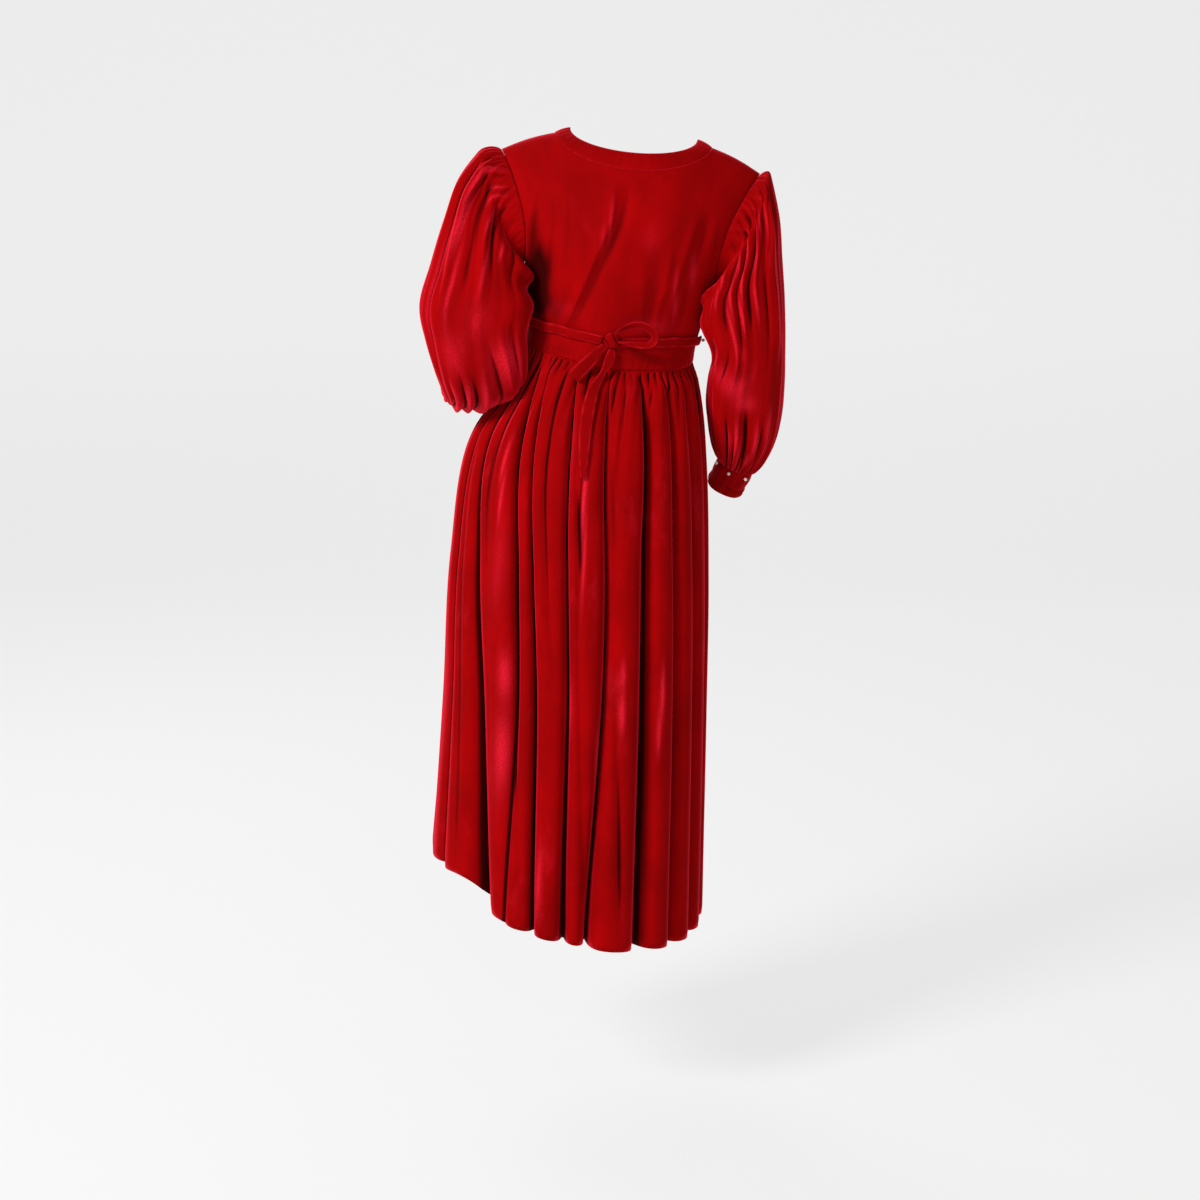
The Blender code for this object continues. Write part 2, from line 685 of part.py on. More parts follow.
def build_ties():
    """The two turned tubes from the side seams to the knot, lying on the bodice back."""
    for left in (True, False):
        name = "tie_left" if left else "tie_right"
        high = -0.283 if left else -0.2915
        first, step = (0, 1) if left else (COLUMNS, -1)
        places = []
        ups = []
        for near in list(range(11)) + [11.25]:
            s = (first + step * near) / COLUMNS
            z = high + (-0.3005 - high) * (near / 11) ** 1.4
            centre = []
            for dz in (-0.006, 0.0, 0.006):
                x = float(curve(BODY, z + dz, 1)) * math.cos(math.pi * s)
                y = float(curve(BODY, z + dz, 2)) * math.sin(math.pi * s)
                centre.append(np.array([x, y, z + dz]))
            fold = bodice_folds(np.array(centre))
            up = unit(fold[2] - fold[0])
            half = float(curve(BODY, z, 1))
            deep = float(curve(BODY, z, 2))
            away = unit(np.array([
                math.cos(math.pi * s) / half,
                math.sin(math.pi * s) / deep,
                0.0,
            ]))
            away = unit(away - up * np.dot(away, up))
            place = fold[1] + away * (TIE_DEPTH / 2 + 0.0020)
            places.append(place)
            ups.append(up)
        placed = lean(np.array(places), BODY)
        up = unit(lean(np.array(places) + np.array(ups) * 0.001, BODY) - placed)
        strip(name, placed, up, TIE_WIDTH / 2, TIE_DEPTH / 2)


def build_bow():
    """The half bow: a knot, one loop, a short tail and a long tail."""
    around = 12
    rows = 7
    points = []
    for r in range(1, rows):
        a = math.pi * r / rows
        for c in range(around):
            b = 2 * math.pi * c / around
            pull = 1 + 0.10 * math.cos(3 * b + r) - 0.06 * math.cos(2 * a)
            points.append((
                KNOT[0] + 0.0088 * math.sin(a) * math.cos(b) * pull,
                KNOT[1] + 0.0062 * math.sin(a) * math.sin(b) * pull,
                KNOT[2] + 0.0125 * math.cos(a),
            ))
    points.append((KNOT[0], KNOT[1], KNOT[2] + 0.0125))
    points.append((KNOT[0], KNOT[1], KNOT[2] - 0.0125))
    faces = []
    for r in range(rows - 2):
        for c in range(around):
            a = r * around + c
            b = r * around + (c + 1) % around
            faces.append((a, b, b + around, a + around))
    top = (rows - 1) * around
    for c in range(around):
        n = (c + 1) % around
        faces.append((top, n, c))
        faces.append((top + 1, (rows - 2) * around + c, (rows - 2) * around + n))
    solid("tie_knot", points, faces)
    back = np.array([0.0, 1.0, 0.0])
    turn = np.linspace(0, 1, len(LOOP))[:, None]
    up = unit(np.array([0.15, 1.0, 0.25]) * (1 - turn) + np.array([-0.1, 1.0, 0.35]) * turn)
    strip("bow_loop", LOOP, up, 0.0058, 0.0017)
    for name, path, wide in (("tie_tail_short", TAIL_SHORT, 0.0105), ("tie_tail_long", TAIL_LONG, 0.0092)):
        tangent = unit(np.gradient(path, axis=0))
        flat = unit(np.cross(tangent, back))
        grow = np.interp(np.linspace(0, 1, len(path)), (0, 0.3, 1), (0.5, 0.85, 1.0))
        strip(name, path, flat, wide, 0.0016, grow)


clear_scene()
sides = build_bodice()
build_neck_band(sides)
for wearer_left in (True, False):
    build_sleeve(sides, wearer_left)
    build_cuff(wearer_left)
build_skirt()
build_ties()
build_bow()
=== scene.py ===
"""Crimson velvet dress with full sleeves, a gathered skirt and a narrow tie closed at the back.

Metres, +Z up.  The origin is midway between the two neck points; the front faces -Y and the
wearer's left is +X.  Every piece of cloth is a thin shell on the form of its solid.
"""
import math

import bpy
import numpy as np
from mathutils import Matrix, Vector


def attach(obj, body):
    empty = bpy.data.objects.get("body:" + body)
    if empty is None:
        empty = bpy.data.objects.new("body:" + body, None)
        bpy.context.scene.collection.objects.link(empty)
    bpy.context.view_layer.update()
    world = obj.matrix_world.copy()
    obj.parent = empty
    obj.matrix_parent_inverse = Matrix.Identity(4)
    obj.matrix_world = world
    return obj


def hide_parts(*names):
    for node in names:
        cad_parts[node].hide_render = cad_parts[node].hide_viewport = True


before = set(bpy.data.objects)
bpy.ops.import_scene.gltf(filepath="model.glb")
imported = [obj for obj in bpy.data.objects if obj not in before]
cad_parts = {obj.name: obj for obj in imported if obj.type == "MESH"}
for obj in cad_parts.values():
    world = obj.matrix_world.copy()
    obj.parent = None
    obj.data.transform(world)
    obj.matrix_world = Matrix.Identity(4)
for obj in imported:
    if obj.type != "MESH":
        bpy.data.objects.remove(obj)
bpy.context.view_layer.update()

# Bodice back: one smooth panel of pile velvet from the waist seam to the shoulders and the round
# back neckline.  It hangs close to the back, with one long slanting fold and softer creases.
seam_gap = 0.0003
cloth_wall = 0.0012
tuck_in = 0.0012
tuck_under = 0.0026
tip_angle = math.radians(5.4)
shoulder_tip = 0.1925
shoulder_fall = 0.41
neck_half = shoulder_tip * math.cos(7 * math.pi / 24)
neck_height = -0.0095
neck_drop_back = 0.044
neck_drop_front = 0.070
ridge_fullness = 0.003
ridge_rounding = 0.09
shoulder_end = -0.0405
underarm = -0.215
body_sections = np.array([
    # height  half    back    front   shift
    (0.060, 0.220, 0.052, 0.055, -0.0063),
    (0.000, 0.216, 0.060, 0.062, 0.0000),
    (-0.060, 0.207, 0.079, 0.078, 0.0063),
    (-0.110, 0.190, 0.100, 0.099, 0.0116),
    (-0.160, 0.166, 0.108, 0.119, 0.0168),
    (-0.215, 0.143, 0.103, 0.122, 0.0226),
    (-0.255, 0.134, 0.094, 0.108, 0.0268),
    (-0.300, 0.127, 0.084, 0.092, 0.0330),
    (-0.340, 0.130, 0.088, 0.093, 0.0415),
])
armhole_edge = np.array([
    # height  half width
    (-0.0405, 0.1925),
    (-0.065, 0.177),
    (-0.090, 0.165),
    (-0.117, 0.154),
    (-0.150, 0.145),
    (-0.185, 0.1415),
    (-0.215, 0.143),
])
waist_line = np.array([
    # turn  height
    (0, -0.3180),
    (50, -0.3290),
    (90, -0.3405),
    (135, -0.3370),
    (180, -0.3250),
    (270, -0.3190),
    (360, -0.3180),
])
back_creases = np.array([
    # x at the top, middle and foot, their heights, half width, rise.  A minus rise is a trough.
    (0.022, 0.021, 0.078, -0.075, -0.130, -0.305, 0.0065, 0.0048),
    (-0.002, 0.006, 0.060, -0.070, -0.135, -0.290, 0.0095, -0.0042),
    (0.046, 0.052, 0.100, -0.150, -0.200, -0.310, 0.0130, -0.0024),
    (0.088, 0.087, 0.090, -0.100, -0.150, -0.230, 0.0070, 0.0026),
    (0.104, 0.102, 0.104, -0.090, -0.150, -0.240, 0.0090, -0.0032),
    (0.118, 0.120, 0.120, -0.150, -0.220, -0.310, 0.0120, -0.0058),
    (-0.122, -0.104, -0.090, -0.100, -0.190, -0.290, 0.0110, -0.0052),
    (-0.104, -0.090, -0.076, -0.110, -0.190, -0.280, 0.0080, 0.0030),
    (-0.070, -0.071, -0.066, -0.150, -0.180, -0.235, 0.0060, 0.0022),
    (-0.052, -0.054, -0.050, -0.160, -0.210, -0.300, 0.0100, -0.0024),
    (-0.030, -0.036, -0.040, -0.180, -0.230, -0.290, 0.0090, 0.0016),
    (-0.078, -0.062, -0.058, -0.200, -0.240, -0.295, 0.0060, 0.0018),
    (0.030, 0.034, 0.030, -0.250, -0.280, -0.335, 0.0070, 0.0016),
])


def along(table, at, column=1):
    """Smooth line through a table's rows, each joined to the next by a cubic."""
    rows = table[np.argsort(table[:, 0])]
    x, y = rows[:, 0], rows[:, column]
    slope = np.gradient(y, x)
    at = np.clip(np.asarray(at, dtype=float), x[0], x[-1])
    k = np.clip(np.searchsorted(x, at, side="right") - 1, 0, len(x) - 2)
    span = x[k + 1] - x[k]
    t = (at - x[k]) / span
    low = (1 + 2 * t) * (1 - t) ** 2 * y[k] + t * (1 - t) ** 2 * span * slope[k]
    return low + t * t * (3 - 2 * t) * y[k + 1] - t * t * (1 - t) * span * slope[k + 1]


def unit(vectors):
    """Vectors made one long."""
    return vectors / np.maximum(np.linalg.norm(vectors, axis=-1, keepdims=True), 1e-12)


def from_turn(turn, line):
    """Degrees from a line to a turn, the short way round."""
    return (turn - line + 180) % 360 - 180


def ease(low, high, value):
    """0 below low, 1 above high, and a smooth rise between."""
    t = np.clip((value - low) / (high - low), 0, 1)
    return t * t * (3 - 2 * t)


def stance(points, sections):
    """The worn stance: level rows tip by one angle and slide to the wearer's left."""
    x, y, z = points[..., 0], points[..., 1], points[..., 2]
    shift = along(sections, z, 4)
    return np.stack([x * math.cos(tip_angle) + shift, y, z + x * math.sin(tip_angle)], axis=-1)


def surface_normals(points, around):
    """Cross product of the grid's two directions at each point."""
    if around:
        across = np.roll(points, -1, axis=1) - np.roll(points, 1, axis=1)
    else:
        across = np.gradient(points, axis=1)
    return unit(np.cross(across, np.gradient(points, axis=0)))


def outward(points, around, middle):
    """Surface normals, turned to point away from a middle line."""
    normals = surface_normals(points, around)
    return normals if np.sum(normals * (points - middle)) > 0 else -normals


def shoulder_ridge(x):
    """Height of the shoulder over a place across the body: a fall from the neck, full midway."""
    off = np.abs(x) - neck_half
    full = np.sin(np.clip(off / (shoulder_tip - neck_half), 0, 1) * math.pi)
    return neck_height - shoulder_fall * off + ridge_fullness * full


def body_depth(x, z, column):
    """Depth at a place: an oval section that rounds over and closes at the shoulder."""
    half, depth = along(body_sections, z, 1), along(body_sections, z, column)
    oval = np.sqrt(np.clip(1 - (x / half) ** 2, 0, 1))
    q = np.clip((shoulder_ridge(x) - z) / ridge_rounding, 0, 1)
    return depth * oval * np.sqrt(np.clip(1 - (1 - q) ** 2, 0, 1))


def bodice_grid(back, columns, low_rows, high_rows):
    """Rows climb from the waist seam to the underarm, then to the neckline and shoulders."""
    column, side = (2, 1.0) if back else (3, -1.0)
    s = np.linspace(0, 1, columns + 1)
    cosine, sine = np.cos(math.pi * s), np.sin(math.pi * s)
    seam = along(waist_line, 180 * s if back else 360 - 180 * s) + seam_gap / 2
    t = np.linspace(0, 1, low_rows, endpoint=False)[:, None]
    z_low = seam + (underarm - seam) * t
    x_low = along(body_sections, z_low, 1) * cosine
    y_low = along(body_sections, z_low, column) * sine
    top_x = shoulder_tip * cosine
    inside = np.sqrt(np.clip(1 - (top_x / neck_half) ** 2, 0, 1))
    dip = neck_height - (neck_drop_back if back else neck_drop_front) * inside ** 1.3
    top = np.where(np.abs(top_x) > neck_half, shoulder_ridge(top_x), dip)
    t = np.linspace(0, 1, high_rows + 1)[:, None]
    z_high = underarm + (top - underarm) * t
    x_high = along(armhole_edge, underarm + (shoulder_end - underarm) * t) * cosine
    y_high = body_depth(x_high, z_high, column)
    points = np.stack([
        np.concatenate([x_low, x_high]),
        side * np.concatenate([y_low, y_high]) + side * seam_gap / 2,
        np.concatenate([z_low, z_high]),
    ], axis=-1)
    return points


def creased(points, creases, side):
    """Each crease is a bell across a bent line, fading at both ends."""
    x, z = points[..., 0], points[..., 2]
    lift = np.zeros(x.shape)
    for top, middle, foot, z_top, z_middle, z_foot, width, rise in creases:
        line = np.interp(-z, (-z_top, -z_middle, -z_foot), (top, middle, foot))
        ends = ease(-z_top - 0.012, -z_top + 0.04, -z)
        ends = ends * (1 - ease(-z_foot - 0.05, -z_foot + 0.02, -z))
        lift += rise * ends * np.exp(-np.abs((x - line) / width) ** 1.7)
    moved = points.copy()
    moved[..., 1] += side * lift
    return moved


def puckered(points, normals, reach, depth, count, phase):
    """Small uneven gathers that start at the first row and fade away from it."""
    row = np.linalg.norm(points - points[:1], axis=-1)
    place = np.linspace(0, 1, points.shape[1])
    wave = np.abs(np.cos(math.pi * (count * place + 0.35 * np.sin(17 * place + phase) + phase)))
    uneven = 0.6 + 0.4 * np.sin(31 * place + 2.1 * phase)
    swell = row / reach * np.exp(1 - row / reach)
    return points + normals * (depth * swell * (wave - 0.6) * uneven)[..., None]


def rolled_edges(points, normals, edges, reach=0.0035, sink=0.0011):
    """The cloth rolls down into its seams: a dip that fades within a few millimetres."""
    dip = np.zeros(points.shape[:2])
    if "first" in edges:
        dip = np.maximum(dip, np.exp(-np.linalg.norm(points - points[:1], axis=-1) / reach))
    if "last" in edges:
        dip = np.maximum(dip, np.exp(-np.linalg.norm(points - points[-1:], axis=-1) / reach))
    if "sides" in edges:
        for c in (0, -1):
            off = np.linalg.norm(points - points[:, c][:, None], axis=-1)
            dip = np.maximum(dip, np.exp(-off / reach))
    return points - normals * (sink * dip)[..., None]


def tucked(points, normals, edge):
    """One more row at an edge, turned in under the piece that it is sewn to."""
    if edge == "last":
        return tucked(points[::-1], normals[::-1], "first")[::-1]
    back = unit(points[0] - points[1]) * tuck_in - normals[0] * tuck_under
    return np.concatenate([points[:1] + back, points])


def hollows(points, around):
    """How far each place lies under the cloth on both its sides, for its distance from them.

    It is 1 in a deep valley, 0 on flat cloth and below 0 on a ridge.
    """
    total = np.zeros(points.shape[:2])
    normals = surface_normals(points, around)
    for step in (3, 7, 13):
        if around:
            before, after = np.roll(points, step, axis=1), np.roll(points, -step, axis=1)
        else:
            wide = np.pad(points, ((0, 0), (step, step), (0, 0)), mode="edge")
            before, after = wide[:, :-2 * step], wide[:, 2 * step:]
        sunk = np.sum(((before + after) / 2 - points) * normals, axis=-1)
        total = total + sunk / np.maximum(np.linalg.norm(after - before, axis=-1), 0.004)
    return total


def painted_light_spots(across, down, spots, turns=False):
    """Sum of soft spots from a table, 0 to 1: painted highlights from a sheen table, painted shade
    from a shade table.
    """
    total = np.zeros(np.broadcast(across, down).shape)
    for middle, height, wide, tall, strength in spots:
        off = from_turn(across, middle) if turns else across - middle
        fall = np.abs(off / wide) ** 1.8 + np.abs((down - height) / tall) ** 2.2
        total = total + strength * np.exp(-fall)
    return np.clip(1.25 * total, 0, 1)


def quads(grid):
    """The corners of a grid's quads, in order round each."""
    return np.stack([grid[:-1, :-1], grid[:-1, 1:], grid[1:, 1:], grid[1:, :-1]], axis=2)


def grid_faces(rows, columns, around):
    """Quads of a grid of points, which closes on itself where it goes around."""
    index = np.arange(rows * columns).reshape(rows, columns)
    if around:
        index = np.concatenate([index, index[:, :1]], axis=1)
    return quads(index).reshape(-1, 4)


def travelled(points, axis):
    """Mean length of cloth from the first row or column to each of the others."""
    step = np.linalg.norm(np.diff(points, axis=axis), axis=-1).mean(axis=1 - axis)
    return np.concatenate([[0.0], np.cumsum(step)])


def smooth_mesh(name, points, faces, materials, lay=None, marks=()):
    """A smooth mesh in the scene, with its cloth laid flat and marks of one value a point."""
    mesh = bpy.data.meshes.new(name)
    mesh.from_pydata(points.reshape(-1, 3).tolist(), [], faces)
    mesh.polygons.foreach_set("use_smooth", np.ones(len(faces), dtype=bool))
    if lay is not None:
        layer = mesh.uv_layers.new(name="cloth")
        layer.data.foreach_set("uv", lay.reshape(-1).astype(np.float32))
    for word, value in marks:
        mark = mesh.attributes.new(word, "FLOAT", "POINT")
        mark.data.foreach_set("value", value.reshape(-1).astype(np.float32))
    for material in materials:
        mesh.materials.append(material)
    piece = bpy.data.objects.new(name, mesh)
    bpy.context.scene.collection.objects.link(piece)
    return piece


def stands_for(piece, node):
    """The piece belongs to the dress and shows in place of a solid."""
    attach(piece, "root")
    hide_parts(node)
    return piece


def cloth_piece(
    points, middle, material, node, around=False, thick=cloth_wall, deep=1.6, painted_highlight=None, shadow=0.0
):
    """A grid of quads with lengths of cloth as its UV map, made a thin shell inwards."""
    closed = np.concatenate([points, points[:, :1]], axis=1) if around else points
    faces = grid_faces(*points.shape[:2], around)
    u, v = travelled(closed, 1), travelled(closed, 0)
    lay = quads(np.stack(np.broadcast_arrays(u[None, :], v[:, None]), axis=-1)).reshape(-1, 4, 2)
    if np.sum(surface_normals(closed, False) * (closed - middle)) < 0:
        faces, lay = faces[:, ::-1], lay[:, ::-1]
    # Painted shade: how deep each place lies in a hollow, scaled by deep and added to the given
    # shadow, darkens the velvet there.
    sunk = hollows(points, around)
    if np.sum(surface_normals(points, around) * (points - middle)) < 0:
        sunk = -sunk
    marks = [("fold", np.clip(sunk * deep + shadow, -1, 1))]
    if painted_highlight is not None:
        marks.append(("painted_light_spots", painted_highlight))
    piece = smooth_mesh(node + "_cloth", points, faces.tolist(), (material, reverse), lay, marks)
    shell = piece.modifiers.new("wall", "SOLIDIFY")
    shell.thickness = thick
    shell.offset = -1.0
    shell.material_offset = 1
    shell.material_offset_rim = 0
    return stands_for(piece, node)


def window(nodes, link, value, low, high, top=1.0):
    """A shader value made 0 below low and top above high, with a smooth rise between."""
    ramp = nodes.new("ShaderNodeMapRange")
    ramp.interpolation_type = "SMOOTHSTEP"
    ramp.inputs["From Min"].default_value = low
    ramp.inputs["From Max"].default_value = high
    ramp.inputs["To Max"].default_value = top
    link(value, ramp.inputs["Value"])
    return ramp.outputs["Result"]


def feed(link, socket, value):
    """A socket takes another node's output, or else keeps a constant of its own."""
    if isinstance(value, bpy.types.NodeSocket):
        link(value, socket)
    else:
        socket.default_value = value


def blend(nodes, link, factor, first, second):
    """Two colours mixed by a factor."""
    node = nodes.new("ShaderNodeMix")
    node.data_type = "RGBA"
    link(factor, node.inputs["Factor"])
    feed(link, node.inputs["A"], first)
    feed(link, node.inputs["B"], second)
    return node.outputs["Result"]


def new_material(name):
    """An empty material with its nodes, the way to join them, and its shader."""
    material = bpy.data.materials.new(name)
    material.use_nodes = True
    nodes = material.node_tree.nodes
    return material, nodes, material.node_tree.links.new, nodes["Principled BSDF"]


def nap_group():
    """Pile that lies unevenly: long streaks, crushed patches and a fine fuzz, over the cloth, with
    spots of painted sheen added to the crushed patches.
    """
    group = bpy.data.node_groups.new("velvet nap", "ShaderNodeTree")
    face = group.interface
    face.new_socket(name="Cloth", in_out="INPUT", socket_type="NodeSocketVector")
    for word in ("Streaks", "Crush", "PaintedSheen"):
        face.new_socket(name=word, in_out="INPUT", socket_type="NodeSocketFloat")
    for word in ("Shade", "CrushAndPaintedSheen", "Pile"):
        face.new_socket(name=word, in_out="OUTPUT", socket_type="NodeSocketFloat")
    nodes, link = group.nodes, group.links.new
    source, sink = nodes.new("NodeGroupInput"), nodes.new("NodeGroupOutput")

    def noise(scale, stretch, detail, rough):
        lay = nodes.new("ShaderNodeMapping")
        lay.inputs["Scale"].default_value = stretch
        link(source.outputs["Cloth"], lay.inputs["Vector"])
        field = nodes.new("ShaderNodeTexNoise")
        field.inputs["Scale"].default_value = scale
        field.inputs["Detail"].default_value = detail
        field.inputs["Roughness"].default_value = rough
        link(lay.outputs["Vector"], field.inputs["Vector"])
        return field.outputs["Fac"]

    def combine(kind, first, second):
        node = nodes.new("ShaderNodeMath")
        node.operation = kind
        feed(link, node.inputs[0], first)
        feed(link, node.inputs[1], second)
        return node.outputs["Value"]

    streak = window(nodes, link, noise(9.0, (9.0, 1.0, 1.0), 3.0, 0.55), 0.30, 0.72)
    cloud = window(nodes, link, noise(6.5, (1.6, 1.0, 1.0), 4.0, 0.6), 0.30, 0.75)
    shade = combine("ADD", combine("MULTIPLY", streak, source.outputs["Streaks"]), cloud)
    link(combine("MULTIPLY", shade, 0.7), sink.inputs["Shade"])
    patch = window(nodes, link, noise(7.0, (2.6, 1.0, 1.0), 5.0, 0.65), 0.56, 0.80)
    grain = window(nodes, link, noise(420.0, (0.6, 1.6, 1.0), 4.0, 0.7), 0.36, 0.66)
    rough = combine("MULTIPLY", patch, source.outputs["Crush"])
    # The crushed patches are random tone; the spots of painted sheen from the mesh are added to
    # them here.
    crushed = combine("ADD", combine("MULTIPLY", rough, 0.45), source.outputs["PaintedSheen"])
    grain = combine("ADD", combine("MULTIPLY", grain, 0.65), 0.35)
    link(combine("MULTIPLY", crushed, grain), sink.inputs["CrushAndPaintedSheen"])
    fuzz = noise(1500.0, (1.0, 0.6, 1.0), 2.0, 0.6)
    broad = noise(160.0, (1.0, 0.4, 1.0), 3.0, 0.6)
    link(combine("ADD", fuzz, combine("MULTIPLY", broad, 1.2)), sink.inputs["Pile"])
    return group


velvet_nap = nap_group()
velvet_deep = (0.245, 0.0003, 0.0008, 1.0)
velvet_lit = (0.390, 0.0004, 0.0014, 1.0)
# Colour of the painted shade in folds and under other parts.
painted_shade_colour = (0.022, 0.0001, 0.0003, 1.0)
# Colour of the random crushed patches and of the painted sheen.
crush_and_painted_sheen = (0.900, 0.0160, 0.0420, 1.0)


def velvet(name, streaks=0.3, crush=0.6, painted_rim_sheen=1.0):
    """Pile velvet: even when faced, with painted shade down in the folds and painted sheen where it
    turns away from view.
    """
    material, nodes, link, shader = new_material(name)
    cloth = nodes.new("ShaderNodeUVMap")
    cloth.uv_map = "cloth"
    nap = nodes.new("ShaderNodeGroup")
    nap.node_tree = velvet_nap
    nap.inputs["Streaks"].default_value = streaks
    nap.inputs["Crush"].default_value = crush
    link(cloth.outputs["UV"], nap.inputs["Cloth"])
    fold = nodes.new("ShaderNodeAttribute")
    fold.attribute_name = "fold"
    glint = nodes.new("ShaderNodeAttribute")
    glint.attribute_name = "painted_light_spots"
    link(glint.outputs["Fac"], nap.inputs["PaintedSheen"])
    body = blend(nodes, link, nap.outputs["Shade"], velvet_deep, velvet_lit)
    # Random crushed patches and spots of painted sheen mix towards the bright red.
    crushed = blend(nodes, link, nap.outputs["CrushAndPaintedSheen"], body, crush_and_painted_sheen)
    # Painted sheen: the base colour brightens where the surface turns away from view.
    graze = nodes.new("ShaderNodeLayerWeight")
    graze.inputs["Blend"].default_value = 0.5
    turned = window(nodes, link, graze.outputs["Facing"], 0.40, 1.0, 0.70 * painted_rim_sheen)
    bright = blend(nodes, link, turned, crushed, crush_and_painted_sheen)
    # Painted shade: the fold mark darkens the base colour in hollows and creases, as shade would
    # fall there.
    sunk = window(nodes, link, fold.outputs["Fac"], 0.04, 0.75, 0.94)
    link(blend(nodes, link, sunk, bright, painted_shade_colour), shader.inputs["Base Color"])
    shader.inputs["Roughness"].default_value = 0.85
    shader.inputs["Specular IOR Level"].default_value = 0.03
    shader.inputs["Sheen Weight"].default_value = 0.20
    shader.inputs["Sheen Roughness"].default_value = 0.22
    shader.inputs["Sheen Tint"].default_value = (1.0, 0.03, 0.07, 1.0)
    pile = nodes.new("ShaderNodeBump")
    pile.inputs["Strength"].default_value = 0.35
    pile.inputs["Distance"].default_value = 0.0005
    link(nap.outputs["Pile"], pile.inputs["Height"])
    link(pile.outputs["Normal"], shader.inputs["Normal"])
    return material


def velvet_reverse(name):
    """The back of velvet: a flat, dull ground with no pile."""
    material, nodes, link, shader = new_material(name)
    cloth = nodes.new("ShaderNodeUVMap")
    cloth.uv_map = "cloth"
    weave = nodes.new("ShaderNodeTexNoise")
    weave.inputs["Scale"].default_value = 420.0
    weave.inputs["Detail"].default_value = 3.0
    link(cloth.outputs["UV"], weave.inputs["Vector"])
    dull, pale = (0.150, 0.002, 0.006, 1.0), (0.260, 0.005, 0.012, 1.0)
    link(blend(nodes, link, weave.outputs["Fac"], dull, pale), shader.inputs["Base Color"])
    shader.inputs["Roughness"].default_value = 0.92
    shader.inputs["Specular IOR Level"].default_value = 0.15
    return material


reverse = velvet_reverse("velvet_reverse")
bodice_velvet = velvet("bodice_velvet", streaks=0.2, crush=0.25)


def bodice_panel(back, columns, low_rows, high_rows, creases, spots, painted_shades, node):
    """A bodice panel in its stance, creased, with its seams rolled in, its painted sheen and
    painted shade.
    """
    side = 1.0 if back else -1.0
    points = bodice_grid(back, columns, low_rows, high_rows)
    painted_highlight = painted_light_spots(points[..., 0], points[..., 2], spots)
    shadow = painted_light_spots(points[..., 0], points[..., 2], painted_shades)
    points = creased(points, creases, side)
    placed = stance(points, body_sections)
    middle = placed.mean(axis=(0, 1)) * np.array([1, 0, 1])
    normals = outward(placed, False, middle)
    placed = puckered(placed, normals, 0.006, 0.0007, 34, 0.4 if back else 1.9)
    placed = rolled_edges(placed, normals, ("first", "last", "sides"))
    return cloth_piece(placed, middle, bodice_velvet, node, deep=0.9, painted_highlight=painted_highlight, shadow=shadow)


# Painted sheen: bright spots of highlight on the back bodice.
back_painted_sheen = (
    # x, height, half width, half height, strength
    (-0.106, -0.191, 0.005, 0.022, 0.45),
    (-0.086, -0.243, 0.004, 0.016, 0.40),
    (-0.082, -0.208, 0.003, 0.018, 0.35),
    (0.021, -0.125, 0.002, 0.030, 0.40),
    (0.030, -0.155, 0.003, 0.020, 0.20),
    (-0.040, -0.150, 0.012, 0.020, 0.12),
    (0.090, -0.262, 0.030, 0.010, 0.14),
    (-0.060, -0.275, 0.035, 0.012, 0.16),
)
# Painted shade: shadow beside the sleeves, mostly the left one, and shade under the tie.
back_painted_shade = (
    # x, height, half width, half height, strength
    (0.120, -0.222, 0.022, 0.046, 0.85),
    (0.104, -0.262, 0.024, 0.022, 0.40),
    (0.132, -0.150, 0.009, 0.040, 0.40),
    (-0.134, -0.140, 0.008, 0.050, 0.30),
    (-0.060, -0.322, 0.075, 0.013, 0.26),
    (0.078, -0.322, 0.030, 0.013, 0.26),
    (0.016, -0.150, 0.012, 0.060, 0.10),
)
bodice_back = bodice_panel(
    True, 220, 56, 92, back_creases, back_painted_sheen, back_painted_shade, "bodice_back"
)

# Bodice front: the matching panel, eased over the bust by its cut, plain velvet with a round
# neckline.  It is out of sight in the photograph, so its creases follow those of the back.
front_creases = np.array([
    # x at the top, middle and foot, their heights, half width, rise.  A minus rise is a trough.
    (0.118, 0.105, 0.080, -0.120, -0.190, -0.300, 0.0120, -0.0040),
    (-0.120, -0.102, -0.076, -0.110, -0.200, -0.300, 0.0110, -0.0044),
    (0.066, 0.056, 0.050, -0.210, -0.250, -0.310, 0.0090, 0.0026),
    (-0.058, -0.050, -0.046, -0.215, -0.260, -0.312, 0.0100, 0.0028),
    (0.018, 0.014, 0.020, -0.230, -0.270, -0.315, 0.0080, 0.0018),
    (-0.094, -0.086, -0.070, -0.100, -0.150, -0.215, 0.0080, 0.0022),
    (0.092, 0.090, 0.074, -0.095, -0.140, -0.205, 0.0090, 0.0020),
])
# Painted sheen: bright spots of highlight on the front bodice.
front_painted_sheen = (
    # x, height, half width, half height, strength
    (0.058, -0.180, 0.020, 0.018, 0.22),
    (-0.052, -0.184, 0.018, 0.020, 0.22),
    (0.100, -0.250, 0.006, 0.024, 0.30),
    (-0.096, -0.240, 0.006, 0.022, 0.30),
)
# Painted shade: shadow beside the sleeves and at the middle of the front.
front_painted_shade = (
    # x, height, half width, half height, strength
    (0.124, -0.215, 0.016, 0.050, 0.45),
    (-0.122, -0.210, 0.016, 0.050, 0.40),
    (0.000, -0.235, 0.030, 0.030, 0.16),
)
bodice_front = bodice_panel(
    False, 170, 44, 76, front_creases, front_painted_sheen, front_painted_shade, "bodice_front"
)

# Neck band: a strip of the same velvet folded double, sewn round the neckline and standing up
# and in from its seam.
band_top_half = 0.0945
band_across = 260
band_rows = 16


